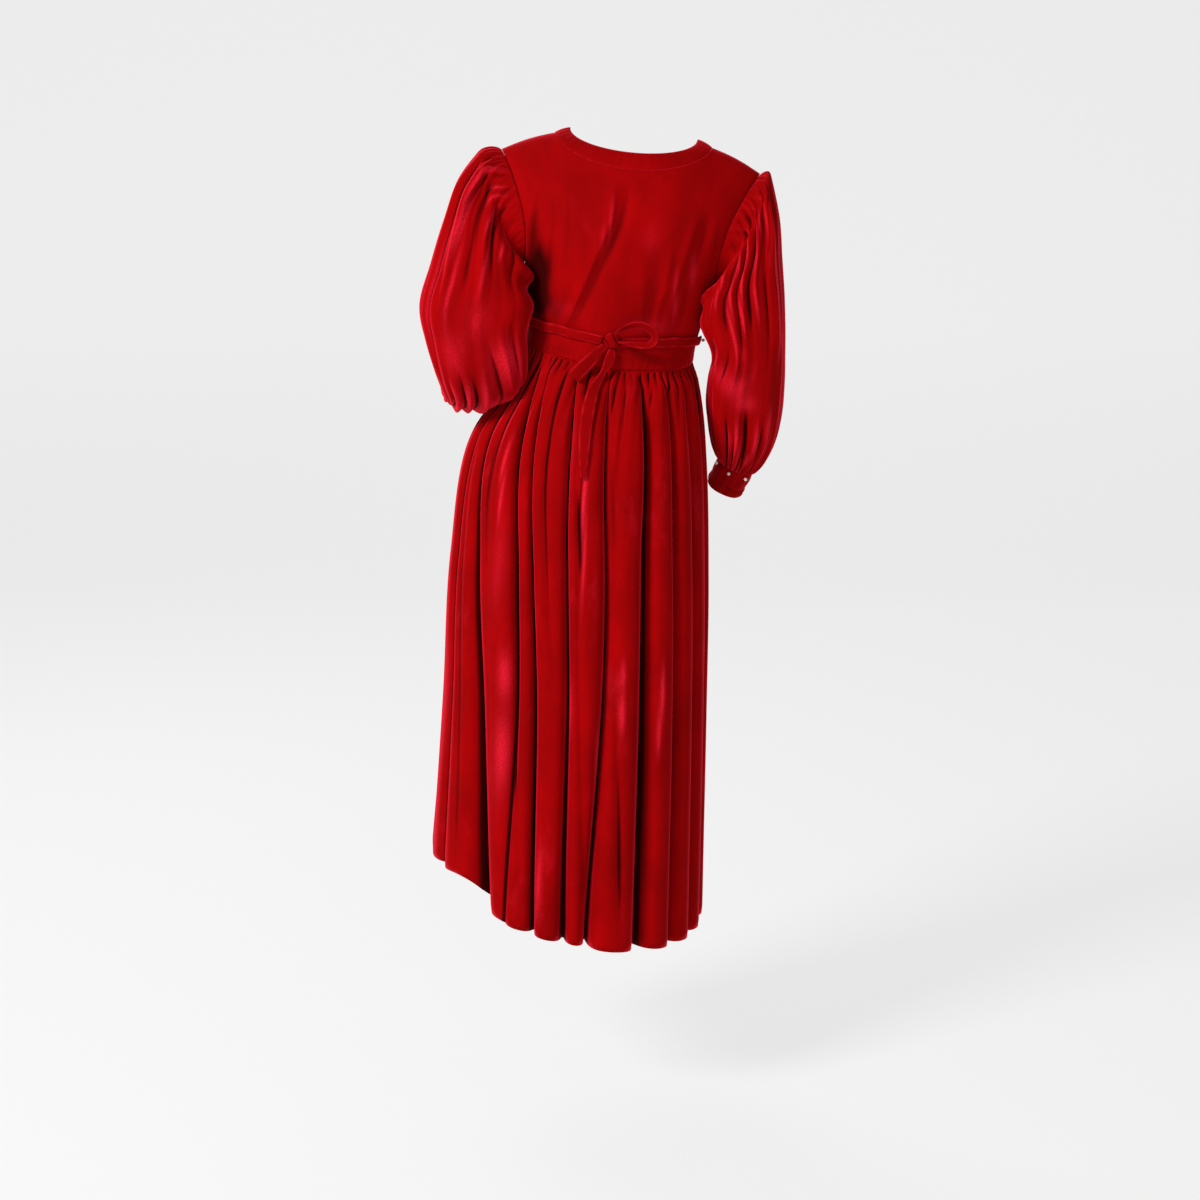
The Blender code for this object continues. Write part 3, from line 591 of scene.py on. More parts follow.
def neck_band_grid():
    """The neckline's own edge, and a second ring in and up from it, joined by a slight bow."""
    turn = np.linspace(0, 2 * math.pi, band_across, endpoint=False)
    x = neck_half * np.cos(turn)
    back = np.sin(turn) >= 0
    inside = np.abs(np.sin(turn))
    z = neck_height - np.where(back, neck_drop_back, neck_drop_front) * inside ** 1.3
    y = np.where(back, body_depth(x, z, 2), -body_depth(x, z, 3))
    seam = np.stack([x, y, z], axis=-1)
    top = np.stack([
        band_top_half * np.cos(turn),
        np.where(back, 0.0575, -0.0680) * inside,
        -np.where(back, 0.029, 0.056) * inside ** np.where(back, 1.0, 1.3),
    ], axis=-1)
    t = np.linspace(0, 1, band_rows)[:, None, None]
    seam = seam + unit(top - seam) * seam_gap
    return seam + (top - seam) * t


shape = stance(neck_band_grid(), body_sections)
centre = shape.mean(axis=(0, 1)) + np.array([0, 0, -0.25])
lift = outward(shape, True, centre)
bow = np.sin(np.linspace(0, math.pi, band_rows))[:, None, None]
ripple = np.sin(np.linspace(0, 2 * math.pi, band_across, endpoint=False) * 46)[None, :, None]
shape = shape + lift * (0.0010 * bow + 0.00012 * ripple * bow)
shape = rolled_edges(shape, lift, ("first", "last"), 0.0025, 0.0006)
shape = tucked(shape, lift, "first")
band_velvet = velvet("band_velvet", streaks=0.2, crush=0.1)
neck_band = cloth_piece(shape, centre, band_velvet, "neck_band", True)

# Skirt back: one long panel gathered into the waist seam.  The gathers open into broad rounded
# ridges with narrow deep valleys that run down to the hem.
skirt_sections = np.array([
    # height  half    back    front   shift
    (-0.300, 0.127, 0.084, 0.092, 0.0330),
    (-0.340, 0.134, 0.093, 0.098, 0.0415),
    (-0.370, 0.148, 0.106, 0.108, 0.0490),
    (-0.400, 0.160, 0.116, 0.114, 0.0560),
    (-0.470, 0.178, 0.131, 0.124, 0.0680),
    (-0.640, 0.195, 0.152, 0.140, 0.0800),
    (-0.855, 0.201, 0.168, 0.158, 0.0870),
    (-1.190, 0.211, 0.192, 0.186, 0.1010),
])
hem_line = np.array([
    # turn  height
    (0, -1.113),
    (24, -1.116),
    (40, -1.123),
    (50, -1.154),
    (62, -1.166),
    (90, -1.186),
    (125, -1.194),
    (155, -1.186),
    (180, -1.168),
    (225, -1.158),
    (270, -1.146),
    (320, -1.122),
    (360, -1.113),
])
press_turn = 14
press_height = -0.385
press_depth = 0.024
valley_drops = (0.335, 0.42, 0.62, 1.16)
valleys = np.array([
    # turn at the waist, hip, knee and hem, depth at the hip and hem, half width, pinch
    (12, 14, 16, 20, 0.007, 0.014, 4.0, 0.3),
    (26, 27, 34, 49, 0.011, 0.042, 7.0, 0.4),
    (44, 51, 60, 64, 0.020, 0.006, 3.2, 0.5),
    (53, 60, 68, 75, 0.010, 0.024, 2.6, 0.6),
    (73, 79, 84, 88, 0.015, 0.030, 3.0, 0.6),
    (93, 97, 102, 99, 0.022, 0.042, 3.6, 0.8),
    (112, 119, 121, 123, 0.024, 0.038, 4.4, 0.4),
    (129, 135, 138, 141, 0.014, 0.026, 3.4, 0.6),
    (145, 149, 152, 156, 0.010, 0.022, 3.2, 0.6),
    (160, 164, 167, 170, 0.010, 0.018, 3.4, 0.5),
    (176, 178, 180, 184, 0.010, 0.018, 3.8, 0.3),
    (193, 196, 198, 203, 0.012, 0.034, 3.8, 0.6),
    (211, 213, 217, 220, 0.010, 0.024, 3.2, 0.6),
    (228, 231, 236, 241, 0.013, 0.040, 4.0, 0.7),
    (246, 249, 252, 256, 0.010, 0.022, 3.0, 0.6),
    (262, 264, 268, 272, 0.014, 0.036, 3.8, 0.6),
    (281, 282, 286, 291, 0.010, 0.026, 3.4, 0.6),
    (297, 299, 303, 305, 0.012, 0.038, 4.0, 0.7),
    (315, 317, 318, 321, 0.010, 0.020, 3.4, 0.5),
    (334, 336, 338, 345, -0.002, -0.012, 15.0, 0.0),
    (350, 352, 354, 357, 0.009, 0.018, 3.6, 0.3),
])
ripples = np.array([
    # turn at the top and foot, height of the top and foot, depth, half width
    (20, 33, -0.46, -1.12, 0.0040, 3.0),
    (36, 46, -0.36, -0.70, 0.0030, 2.6),
    (40, 57, -0.38, -1.10, 0.0022, 3.0),
    (53, 71, -0.36, -1.16, 0.0035, 1.3),
    (67, 80, -0.345, -0.78, 0.0040, 1.6),
    (81, 92, -0.345, -0.66, 0.0045, 1.5),
    (87, 96, -0.350, -1.18, 0.0050, 1.6),
    (98, 108, -0.345, -0.60, 0.0040, 1.4),
    (104, 112, -0.350, -1.17, 0.0045, 1.7),
    (116, 127, -0.345, -0.70, 0.0035, 1.4),
    (121, 128, -0.350, -1.17, 0.0050, 1.6),
    (134, 142, -0.345, -1.15, 0.0045, 1.7),
    (150, 158, -0.340, -1.10, 0.0040, 1.6),
    (168, 173, -0.340, -1.12, 0.0050, 2.2),
    (186, 192, -0.340, -1.10, 0.0045, 2.0),
    (202, 211, -0.340, -1.12, 0.0040, 1.8),
    (219, 229, -0.340, -1.14, 0.0050, 1.8),
    (238, 247, -0.340, -0.86, 0.0045, 1.7),
    (255, 264, -0.340, -1.12, 0.0045, 1.8),
    (272, 279, -0.340, -0.80, 0.0050, 1.7),
    (289, 297, -0.340, -1.12, 0.0045, 1.8),
    (306, 313, -0.340, -0.90, 0.0050, 1.9),
    (324, 330, -0.340, -1.10, 0.0045, 2.2),
    (342, 347, -0.350, -1.05, 0.0035, 2.0),
])


def pressed(turn, z):
    """The bent sleeve presses the skirt in at the wearer's left hip, as a bell both ways."""
    across, down = from_turn(turn, press_turn) / 34, (z - press_height) / 0.048
    return press_depth * np.exp(-(across ** 2)) * np.exp(-(down ** 2))


def skirt_folds(turn, z):
    """Depth of the folds, how far each valley's sides are drawn over it, and the painted shade
    along it.
    """
    depth = pressed(turn, z)
    drawn = np.zeros(depth.shape)
    shadow = np.zeros(depth.shape)
    waist, hip, knee, hem = valley_drops
    for fold in valleys:
        track = np.column_stack([valley_drops, fold[:4]])
        off = from_turn(turn, along(track, -z))
        deep = np.interp(-z, (waist, hip, hem), (0.0, fold[4], fold[5]))
        wide = fold[6] * np.interp(-z, (waist, knee, hem), (0.7, 0.85, 1.1))
        crease = 0.28 * np.exp(-np.abs(off / (0.35 * wide)) ** 1.5) if fold[4] > 0 else 0.0
        depth = depth + deep * (np.exp(-np.abs(off / wide) ** 1.6) + crease)
        drawn = drawn - fold[7] * np.sign(deep) * off * np.exp(-((off / (1.5 * wide)) ** 2))
        shadow = shadow + np.clip(deep / 0.030, 0, 1) * np.exp(-np.abs(off / (0.75 * wide)) ** 2.2)
    for top, foot, z_top, z_foot, deep, wide in ripples:
        line = top + (foot - top) * np.clip((z_top - z) / (z_top - z_foot), 0, 1)
        off = from_turn(turn, line)
        ends = ease(z_foot - 0.05, z_foot + 0.12, z) * (1 - ease(z_top - 0.03, z_top, z))
        depth = depth + deep * ends * np.exp(-np.abs(off / wide) ** 1.5)
    return depth, drawn, shadow


def gathered(turn, drop, count, phase, reach):
    """Gathers under a seam: rounded ridges of uneven width, strongest a little below it."""
    a = np.radians(turn)
    wave = np.cos(count * a + 1.4 * np.sin(7 * a + phase) + 0.7 * np.sin(17 * a + 2 * phase))
    ridge = np.sqrt(0.5 + 0.5 * wave + 0.03) - 0.65
    uneven = 0.7 + 0.3 * np.sin(11 * a + 3 * phase)
    return ridge * uneven * (drop / reach) * np.exp(1 - drop / reach)


def skirt_grid(back, columns, rows):
    """Oval sections down a leaning line, pushed in along their normals by the folds."""
    s = np.linspace(0, 1, columns + 1)
    turn = 180 * s if back else 360 - 180 * s
    column, side = (2, 1.0) if back else (3, -1.0)
    start = along(waist_line, turn) - seam_gap / 2
    end = along(hem_line, turn)
    t = (np.linspace(0, 1, rows + 1) ** 1.25)[:, None]
    z = start + (end - start) * t
    angle = np.radians(180 * s)
    drop = start - z
    sheer = ease(0.0, 0.02, drop)
    folds, drawn, shadow = skirt_folds(np.broadcast_to(turn, z.shape), z)
    angle = angle + np.radians(drawn * sheer) * (1 if back else -1)
    angle[:, (0, -1)] = (0.0, math.pi)
    waist_half = along(body_sections, start, 1)
    waist_deep = along(body_sections, start, column)
    half = waist_half + (along(skirt_sections, z, 1) - waist_half) * sheer
    deep = waist_deep + (along(skirt_sections, z, column) - waist_deep) * sheer
    small = 0.0044 * gathered(turn, drop, 74, 0.9, 0.008)
    small = small + 0.0048 * gathered(turn, drop, 47, 2.2, 0.022)
    small = small + 0.0036 * gathered(turn, drop, 31, 0.4, 0.060)
    inset = folds * sheer - small - 0.003 * sheer
    normal = unit(np.stack([np.cos(angle) / half, side * np.sin(angle) / deep], axis=-1))
    x = half * np.cos(angle) - normal[..., 0] * inset
    y = side * deep * np.sin(angle) - normal[..., 1] * inset
    y[:, (0, -1)] = 0.0
    return np.stack([x, y + side * seam_gap / 2, z], axis=-1)


def skirt_panel(back, columns, rows, node):
    """A skirt panel in its stance with its seams and its turned hem rolled in."""
    flat = skirt_grid(back, columns, rows)
    placed = stance(flat, skirt_sections)
    middle = placed.mean(axis=1, keepdims=True) * np.array([1, 0, 1])
    normals = outward(placed, False, middle)
    placed = rolled_edges(placed, normals, ("first",), 0.0025, 0.0009)
    placed = rolled_edges(placed, normals, ("last",), 0.002, 0.0010)
    turn = np.linspace(0, 180, columns + 1) if back else np.linspace(360, 180, columns + 1)
    level = flat[..., 2]
    # Painted highlights from the sheen table; painted shade from the valleys' depth and from the
    # shade table.
    painted_highlight = painted_light_spots(turn, level, skirt_painted_sheen, True)
    shadow = 1.1 * skirt_folds(np.broadcast_to(turn, level.shape), level)[2]
    shadow = shadow + painted_light_spots(turn, level, skirt_painted_shade, True)
    placed = tucked(placed, normals, "first")
    middle, painted_highlight, shadow = (np.concatenate([g[:1], g]) for g in (middle, painted_highlight, shadow))
    return cloth_piece(placed, middle, skirt_velvet, node, deep=2.0, painted_highlight=painted_highlight, shadow=shadow)


# Painted shade: a dark strip down the side turned from the light, broad darkening of the lower
# skirt, the left sleeve's shadow at the hip, and softer patches.
skirt_painted_shade = (
    # turn, height, half width in degrees, half height, strength
    (175, -0.430, 8.0, 0.150, 0.85),
    (172, -0.680, 5.0, 0.160, 0.35),
    (60, -1.080, 46.0, 0.220, 0.25),
    (128, -1.060, 44.0, 0.230, 0.22),
    (30, -0.640, 13.0, 0.180, 0.22),
    (156, -0.860, 11.0, 0.260, 0.20),
    (24, -0.405, 18.0, 0.028, 0.45),
    (40, -0.365, 14.0, 0.022, 0.40),
    (150, -0.660, 7.0, 0.180, 0.16),
    (166, -0.950, 8.0, 0.200, 0.18),
    (24, -0.820, 14.0, 0.300, 0.14),
    (345, -0.420, 14.0, 0.050, 0.35),
)
# Painted sheen: small bright highlights on ridges of the skirt's folds.
skirt_painted_sheen = (
    # turn, height, half width in degrees, half height, strength
    (57.8, -0.800, 2.6, 0.030, 0.55),
    (58.2, -0.915, 2.8, 0.055, 0.60),
    (52.3, -0.640, 3.0, 0.060, 0.22),
    (88.3, -0.838, 1.1, 0.034, 0.75),
    (98.0, -0.905, 0.7, 0.045, 0.55),
    (110.5, -0.836, 0.9, 0.028, 0.70),
    (110.5, -0.778, 0.8, 0.018, 0.55),
    (130.2, -0.806, 0.8, 0.036, 0.80),
    (129.3, -0.866, 0.7, 0.030, 0.60),
    (152.4, -0.771, 0.9, 0.026, 0.45),
    (163.0, -0.749, 2.4, 0.020, 0.60),
    (78.3, -1.099, 1.0, 0.050, 0.55),
    (90.0, -0.527, 0.9, 0.060, 0.75),
    (91.6, -0.615, 0.6, 0.060, 0.55),
    (43.0, -0.440, 0.8, 0.030, 0.75),
    (48.5, -0.485, 0.8, 0.030, 0.75),
    (50.3, -0.540, 0.8, 0.035, 0.65),
    (12.0, -0.860, 2.0, 0.080, 0.35),
    (82.0, -0.480, 2.2, 0.050, 0.20),
    (215.0, -0.780, 2.0, 0.040, 0.50),
    (233.0, -0.560, 1.4, 0.060, 0.50),
    (247.0, -0.860, 2.2, 0.050, 0.45),
    (268.0, -0.800, 1.2, 0.040, 0.60),
    (287.0, -0.700, 1.6, 0.060, 0.45),
    (309.0, -0.820, 1.8, 0.045, 0.50),
    (331.0, -0.620, 2.4, 0.070, 0.30),
)
skirt_velvet = velvet("skirt_velvet", streaks=0.3, crush=0.7)
skirt_back = skirt_panel(True, 430, 104, "skirt_back")

# Skirt front: the same panel, hidden but for its raised corner at the wearer's left.  Its folds
# are rows of the same tables, past 180 degrees of turn.
skirt_front = skirt_panel(False, 380, 92, "skirt_front")

# Sleeves: each is one wide piece gathered into the armhole and again into the cuff, so it
# balloons between.  The wearer's left arm is bent with the cloth bagging under the elbow.
left_sections = np.array([
    # x       y       z       out     back    roll  tilt  turn  over
    (0.2045, 0.000, -0.1170, 0.0910, 0.060, 74, 0, 0, 0.009),
    (0.2140, 0.012, -0.1440, 0.0875, 0.069, 59, 0, 0, 0.017),
    (0.2210, 0.024, -0.1790, 0.0800, 0.073, 43, 0, 0, 0.020),
    (0.2290, 0.033, -0.2175, 0.0765, 0.073, 23, 3, 0, 0.020),
    (0.2390, 0.040, -0.2560, 0.0780, 0.071, 5, 6, 0, 0.018),
    (0.2350, 0.046, -0.2930, 0.0735, 0.068, -5, 12, 2, 0.010),
    (0.2285, 0.046, -0.3260, 0.0695, 0.064, -9, 24, 5, 0.008),
    (0.2270, 0.032, -0.3510, 0.0630, 0.061, -9, 44, 8, 0.010),
    (0.2390, -0.002, -0.3640, 0.0530, 0.050, -5, 66, 10, 0.005),
    (0.2500, -0.046, -0.3680, 0.0430, 0.043, -2, 76, 10, 0.000),
    (0.2470, -0.088, -0.3720, 0.0370, 0.036, 0, 80, 14, 0.000),
    (0.2400, -0.118, -0.3760, 0.0285, 0.026, 0, 80, 20, 0.000),
])
right_sections = np.array([
    # x        y       z       out     back    roll  tilt  turn  over
    (-0.1695, 0.002, -0.1480, 0.0870, 0.054, 68, 0, 0, 0.012),
    (-0.1690, 0.013, -0.1860, 0.0815, 0.061, 57, 0, 0, 0.024),
    (-0.1620, 0.015, -0.2250, 0.0730, 0.069, 38, 0, 0, 0.021),
    (-0.1690, 0.015, -0.2690, 0.0600, 0.067, 22, 3, 0, 0.018),
    (-0.1740, 0.010, -0.3160, 0.0530, 0.063, 6, 8, 0, 0.010),
    (-0.1700, 0.001, -0.3640, 0.0570, 0.061, -4, 13, 0, 0.004),
    (-0.1672, -0.010, -0.4040, 0.0580, 0.059, -8, 15, 0, 0.000),
    (-0.1662, -0.020, -0.4400, 0.0525, 0.053, -10, 17, 0, 0.000),
    (-0.1640, -0.030, -0.4660, 0.0450, 0.045, -14, 20, 0, 0.000),
    (-0.1615, -0.037, -0.4830, 0.0370, 0.037, -19, 23, 0, 0.000),
    (-0.1580, -0.042, -0.4950, 0.0285, 0.028, -24, 26, 0, 0.000),
])
left_folds = np.array([
    # turn at the start and end, start and end down the sleeve, half width, rise
    (50, 57, 0.02, 0.32, 3.6, 0.0042),
    (44, 64, 0.03, 0.50, 4.2, 0.0048),
    (80, 97, 0.05, 0.40, 4.6, 0.0050),
    (100, 110, 0.08, 0.24, 3.6, 0.0032),
    (68, 79, 0.04, 0.36, 5.0, -0.0046),
    (56, 60, 0.02, 0.26, 2.6, -0.0034),
    (90, 104, 0.05, 0.30, 3.6, -0.0036),
    (118, 122, 0.08, 0.34, 5.0, -0.0032),
    (36, 46, 0.04, 0.56, 4.6, -0.0040),
    (26, 38, 0.10, 0.60, 4.6, 0.0036),
    (12, 30, 0.16, 0.60, 5.0, -0.0035),
    (46, 50, 0.36, 0.64, 4.6, 0.0046),
    (52, 53, 0.59, 0.80, 3.4, -0.0066),
    (69, 70, 0.58, 0.80, 3.6, -0.0066),
    (84, 87, 0.60, 0.80, 3.4, -0.0060),
    (61, 61, 0.56, 0.78, 4.0, 0.0046),
    (77, 78, 0.57, 0.78, 3.6, 0.0040),
    (97, 101, 0.56, 0.80, 5.0, 0.0044),
    (128, 142, 0.44, 0.66, 4.0, -0.0046),
    (116, 130, 0.46, 0.68, 3.6, 0.0040),
    (106, 118, 0.50, 0.70, 3.4, -0.0040),
    (40, 42, 0.60, 0.78, 4.0, -0.0040),
    (200, 214, 0.15, 0.70, 8.0, -0.0045),
    (236, 240, 0.10, 0.75, 7.0, 0.0040),
    (262, 270, 0.12, 0.70, 7.0, -0.0045),
    (300, 306, 0.10, 0.66, 8.0, 0.0040),
    (330, 334, 0.14, 0.70, 8.0, -0.0040),
])
right_folds = np.array([
    # turn at the start and end, start and end down the sleeve, half width, rise
    (86, 98, 0.04, 0.46, 3.6, 0.0044),
    (98, 111, 0.05, 0.62, 3.6, 0.0044),
    (114, 123, 0.08, 0.34, 3.4, 0.0036),
    (72, 78, 0.06, 0.40, 4.2, 0.0040),
    (92, 105, 0.05, 0.52, 2.8, -0.0040),
    (106, 118, 0.07, 0.44, 3.2, -0.0042),
    (78, 88, 0.06, 0.40, 3.6, -0.0040),
    (128, 134, 0.10, 0.40, 5.0, -0.0038),
    (60, 64, 0.06, 0.50, 4.4, -0.0034),
    (48, 50, 0.05, 0.55, 4.4, 0.0036),
    (36, 36, 0.08, 0.50, 5.0, -0.0034),
    (136, 160, 0.42, 0.58, 4.0, -0.0052),
    (126, 146, 0.44, 0.62, 3.8, 0.0042),
    (120, 134, 0.48, 0.66, 3.6, -0.0042),
    (108, 116, 0.52, 0.68, 4.6, 0.0036),
    (88, 84, 0.76, 0.97, 3.6, -0.0072),
    (101, 98, 0.70, 0.94, 4.6, 0.0046),
    (70, 70, 0.74, 0.96, 4.2, 0.0040),
    (55, 56, 0.70, 0.92, 4.0, 0.0040),
    (62, 62, 0.76, 0.97, 3.4, -0.0050),
    (120, 116, 0.76, 0.97, 4.0, -0.0050),
    (20, 16, 0.20, 0.90, 9.0, -0.0040),
    (196, 204, 0.15, 0.80, 8.0, -0.0045),
    (232, 236, 0.10, 0.75, 7.0, 0.0040),
    (262, 266, 0.12, 0.85, 7.0, -0.0050),
    (296, 300, 0.10, 0.70, 8.0, 0.0040),
    (330, 334, 0.16, 0.80, 8.0, -0.0040),
])


def armhole_loop(left, count):
    """The armhole's edge from the shoulder tip down the back and up the front."""
    side = 1.0 if left else -1.0
    turn = np.linspace(0, 2, count, endpoint=False)
    back = turn <= 1
    t = np.sin(np.abs(1 - turn) * math.pi / 2) ** 2
    z = underarm + (shoulder_end - underarm) * t
    x = along(armhole_edge, z)
    y = np.where(back, body_depth(x, z, 2), -body_depth(x, z, 3))
    step = np.stack([np.full(count, side), np.zeros(count), 1 - t], axis=-1)
    return np.stack([side * x, y, z], axis=-1) + step * seam_gap, t


def sleeve_sections(table, left, count, places):
    """Ovals a little squarer than an ellipse, on axes turned by three angles at each place.

    The inner rear corner of each hangs over the back by its own amount.
    """
    side = 1.0 if left else -1.0
    rows = np.column_stack([np.arange(1, len(table) + 1), table])
    x, y, z, out, back, roll, tilt, turn, over = (along(rows, places, k) for k in range(1, 10))
    roll, tilt, spin = np.radians(roll), np.radians(tilt), -np.radians(turn) * side
    zero = np.zeros(len(places))
    outer = np.stack([side * np.cos(roll), zero, np.sin(roll)], axis=-1)
    rear = np.stack([zero, np.cos(tilt), -np.sin(tilt)], axis=-1)
    for axis in (outer, rear):
        a, b = axis[:, 0].copy(), axis[:, 1].copy()
        axis[:, 0] = a * np.cos(spin) - b * np.sin(spin)
        axis[:, 1] = a * np.sin(spin) + b * np.cos(spin)
    rear = unit(rear - outer * np.sum(rear * outer, axis=-1, keepdims=True))
    around = np.linspace(0, 2 * math.pi, count, endpoint=False)
    c, s = np.cos(around), np.sin(around)
    full = (np.abs(c) ** 2.4 + np.abs(s) ** 2.4) ** (-1 / 2.4)
    centre_line = np.stack([x, y, z], axis=-1)[:, None]
    reach = (out[:, None] * c * full)[..., None] * outer[:, None]
    reach = reach + (back[:, None] * s * full)[..., None] * rear[:, None]
    corner = np.exp(-(((np.degrees(around) - 140) / 36) ** 2))
    reach[..., 0] -= side * over[:, None] * corner
    return centre_line + reach, centre_line


waist_level = -0.325
sleeve_clear = 0.0075


def clear_of_body(points, clear):
    """Points below the underarm that would lie in the body or skirt move out beyond its oval."""
    x, y, z = points[..., 0], points[..., 1], points[..., 2]
    level = z.copy()
    for _ in range(3):
        across = (x - along(skirt_sections, level, 4)) / math.cos(tip_angle)
        level = z - across * math.sin(tip_angle)
    skirt = level < waist_level
    high = np.maximum(level, body_sections[-1, 0])
    low = np.minimum(level, skirt_sections[0, 0])

    def pick(column):
        above, below = along(body_sections, high, column), along(skirt_sections, low, column)
        return np.where(skirt, below, above)

    across = (x - pick(4)) / math.cos(tip_angle)
    turn = np.degrees(np.arctan2(y / pick(2), across / pick(1)))
    dent = np.where(skirt, pressed(turn, low), 0.0)
    half = pick(1) + clear - dent
    deep = np.where(y > 0, pick(2), pick(3)) + clear - dent
    size = np.sqrt((across / half) ** 2 + (y / deep) ** 2)
    short = (size < 1) & (level < underarm + 0.010)
    grow = np.where(short, 1 / np.maximum(size, 1e-6), 1.0)
    moved = points.copy()
    moved[..., 0] = across * grow * math.cos(tip_angle) + pick(4)
    moved[..., 1] = y * grow
    moved[..., 2] = z + across * (grow - 1) * math.sin(tip_angle)
    return moved


def sleeve_grid(left, table, around, rows):
    """A smooth bridge from the armhole to the first oval, then ovals down the arm to the cuff."""
    side = 1.0 if left else -1.0
    loop, height = armhole_loop(left, around)
    loop = stance(loop, body_sections)
    last = len(table)
    bridge = max(int(rows * 0.14), 6)
    places = np.linspace(1, last, rows - bridge + 1)
    ovals, line = sleeve_sections(table, left, around, places)
    ovals = np.concatenate([clear_of_body(ovals[:-4], sleeve_clear), ovals[-4:]])
    t = np.linspace(0, 1, bridge, endpoint=False)[:, None, None]
    lead = np.stack([side * (0.35 + 0.65 * height), 0.0 * height, 0.36 * height - 0.25], axis=-1)
    lead = lead * 0.038
    arrive = (ovals[1] - ovals[0]) * (len(places) / last) * 0.8
    start = (2 * t ** 3 - 3 * t ** 2 + 1) * loop + (t ** 3 - 2 * t ** 2 + t) * lead
    bridged = start + (3 * t ** 2 - 2 * t ** 3) * ovals[0] + (t ** 3 - t ** 2) * arrive
    points = np.concatenate([bridged, ovals])
    middle = np.concatenate([np.broadcast_to(line[:1], (bridge, 1, 3)), line])
    return points, middle


def sleeve_folds(folds, turn, t):
    """Listed folds: bells across lines that drift round the sleeve and fade at their ends."""
    lift = np.zeros(np.broadcast(turn, t).shape)
    for first, last, start, end, width, rise in folds:
        line = first + (last - first) * np.clip((t - start) / (end - start), 0, 1)
        off = from_turn(turn, line)
        ends = ease(start - 0.06, start + 0.08, t) * (1 - ease(end - 0.10, end + 0.05, t))
        lift = lift + rise * ends * np.exp(-np.abs(off / width) ** 1.6)
    return lift


def sleeve_cloth(left, table, folds, sheen, node):
    """One sleeve: its ovals, its folds, and the fine gathers at the head and at the cuff.

    Behind the underarm the cloth hangs over the back of the bodice, and lies closer below.
    """
    around, rows = 264, 128
    points, middle = sleeve_grid(left, table, around, rows)
    steps = np.linalg.norm(np.diff(points, axis=0), axis=-1).mean(axis=1)
    length = np.concatenate([[0.0], np.cumsum(steps)])
    t = (length / length[-1])[:, None]
    turn = np.linspace(0, 360, around, endpoint=False)[None, :]
    inner = np.exp(-(((turn - 150) / 36) ** 2))[..., None]
    side = 1.0 if left else -1.0
    high, low = (0.125, 0.250) if left else (0.140, 0.270)
    over = np.exp(-(((t - high) / 0.05) ** 2))[..., None] * (side * -0.013, 0.010, 0.002)
    below = np.exp(-(((t - low) / 0.06) ** 2))[..., None] * (side * 0.009, -0.002, 0.004)
    points = points + inner * (over + below)
    normals = outward(points, True, middle)
    head = length[:, None]
    foot = (length[-1] - length)[:, None]
    upper = 0.25 + 0.75 * ease(-0.7, 0.2, np.cos(np.radians(turn)))
    fan = turn - (26 * ease(0, 0.10, t) + 14 * ease(0.06, 0.45, t)) * np.sin(np.radians(turn))
    lift = sleeve_folds(folds, turn, t)
    for rise, place, drop, count, phase, reach, full in (
        (0.0036, fan, head, 50, 0.7, 0.012, upper),
        (0.0050, fan, head, 31, 2.4, 0.038, upper),
        (0.0026, fan, head, 17, 1.3, 0.055, 1.0),
        (0.0042, turn, foot, 38, 1.1, 0.010, 1.0),
        (0.0058, turn, foot, 22, 0.2, 0.028, 1.0),
        (0.0040, turn, foot, 11, 0.9, 0.070, 1.0),
    ):
        lift = lift + rise * gathered(place, drop, count, phase, reach) * full
    points = points + normals * lift[..., None]
    points = rolled_edges(points, normals, ("first", "last"), 0.0025, 0.0010)
    points = tucked(points, normals, "first")
    points = tucked(points, np.concatenate([normals[:1], normals]), "last")
    middle = np.concatenate([middle[:1], middle, middle[-1:]])
    # Painted highlights along the sleeve, from its sheen table.
    painted_highlight = painted_light_spots(turn, t, sheen, True)
    painted_highlight = np.concatenate([painted_highlight[:1], painted_highlight, painted_highlight[-1:]])
    return cloth_piece(points, middle, sleeve_velvet, node, True, deep=1.5, painted_highlight=painted_highlight)


sleeve_velvet = velvet("sleeve_velvet", streaks=0.5, crush=0.9, painted_rim_sheen=1.15)
# Painted sheen: bright streaks and patches of highlight on the left sleeve.
left_painted_sheen = (
    # turn, share of the length, half width in degrees, half length, strength
    (52, 0.10, 1.6, 0.060, 0.80),
    (55, 0.21, 1.8, 0.060, 0.70),
    (49, 0.08, 1.2, 0.050, 0.60),
    (58, 0.20, 1.5, 0.070, 0.75),
    (64, 0.36, 2.0, 0.090, 0.55),
    (85, 0.12, 1.6, 0.050, 0.70),
    (93, 0.26, 2.0, 0.080, 0.55),
    (106, 0.17, 1.2, 0.035, 0.70),
    (68, 0.06, 1.2, 0.030, 0.60),
    (76, 0.07, 1.2, 0.030, 0.60),
    (47, 0.50, 2.0, 0.080, 0.60),
    (40, 0.36, 2.4, 0.120, 0.40),
    (32, 0.44, 2.2, 0.110, 0.50),
    (95, 0.42, 14.0, 0.060, 0.12),
    (124, 0.55, 16.0, 0.050, 0.55),
    (66, 0.52, 10.0, 0.050, 0.30),
    (61, 0.64, 4.0, 0.035, 0.65),
    (78, 0.62, 4.0, 0.030, 0.55),
    (97, 0.63, 5.0, 0.040, 0.55),
    (112, 0.66, 6.0, 0.030, 0.45),
    (140, 0.60, 3.0, 0.040, 0.55),
    (240, 0.35, 8.0, 0.100, 0.30),
    (300, 0.55, 8.0, 0.080, 0.30),
)
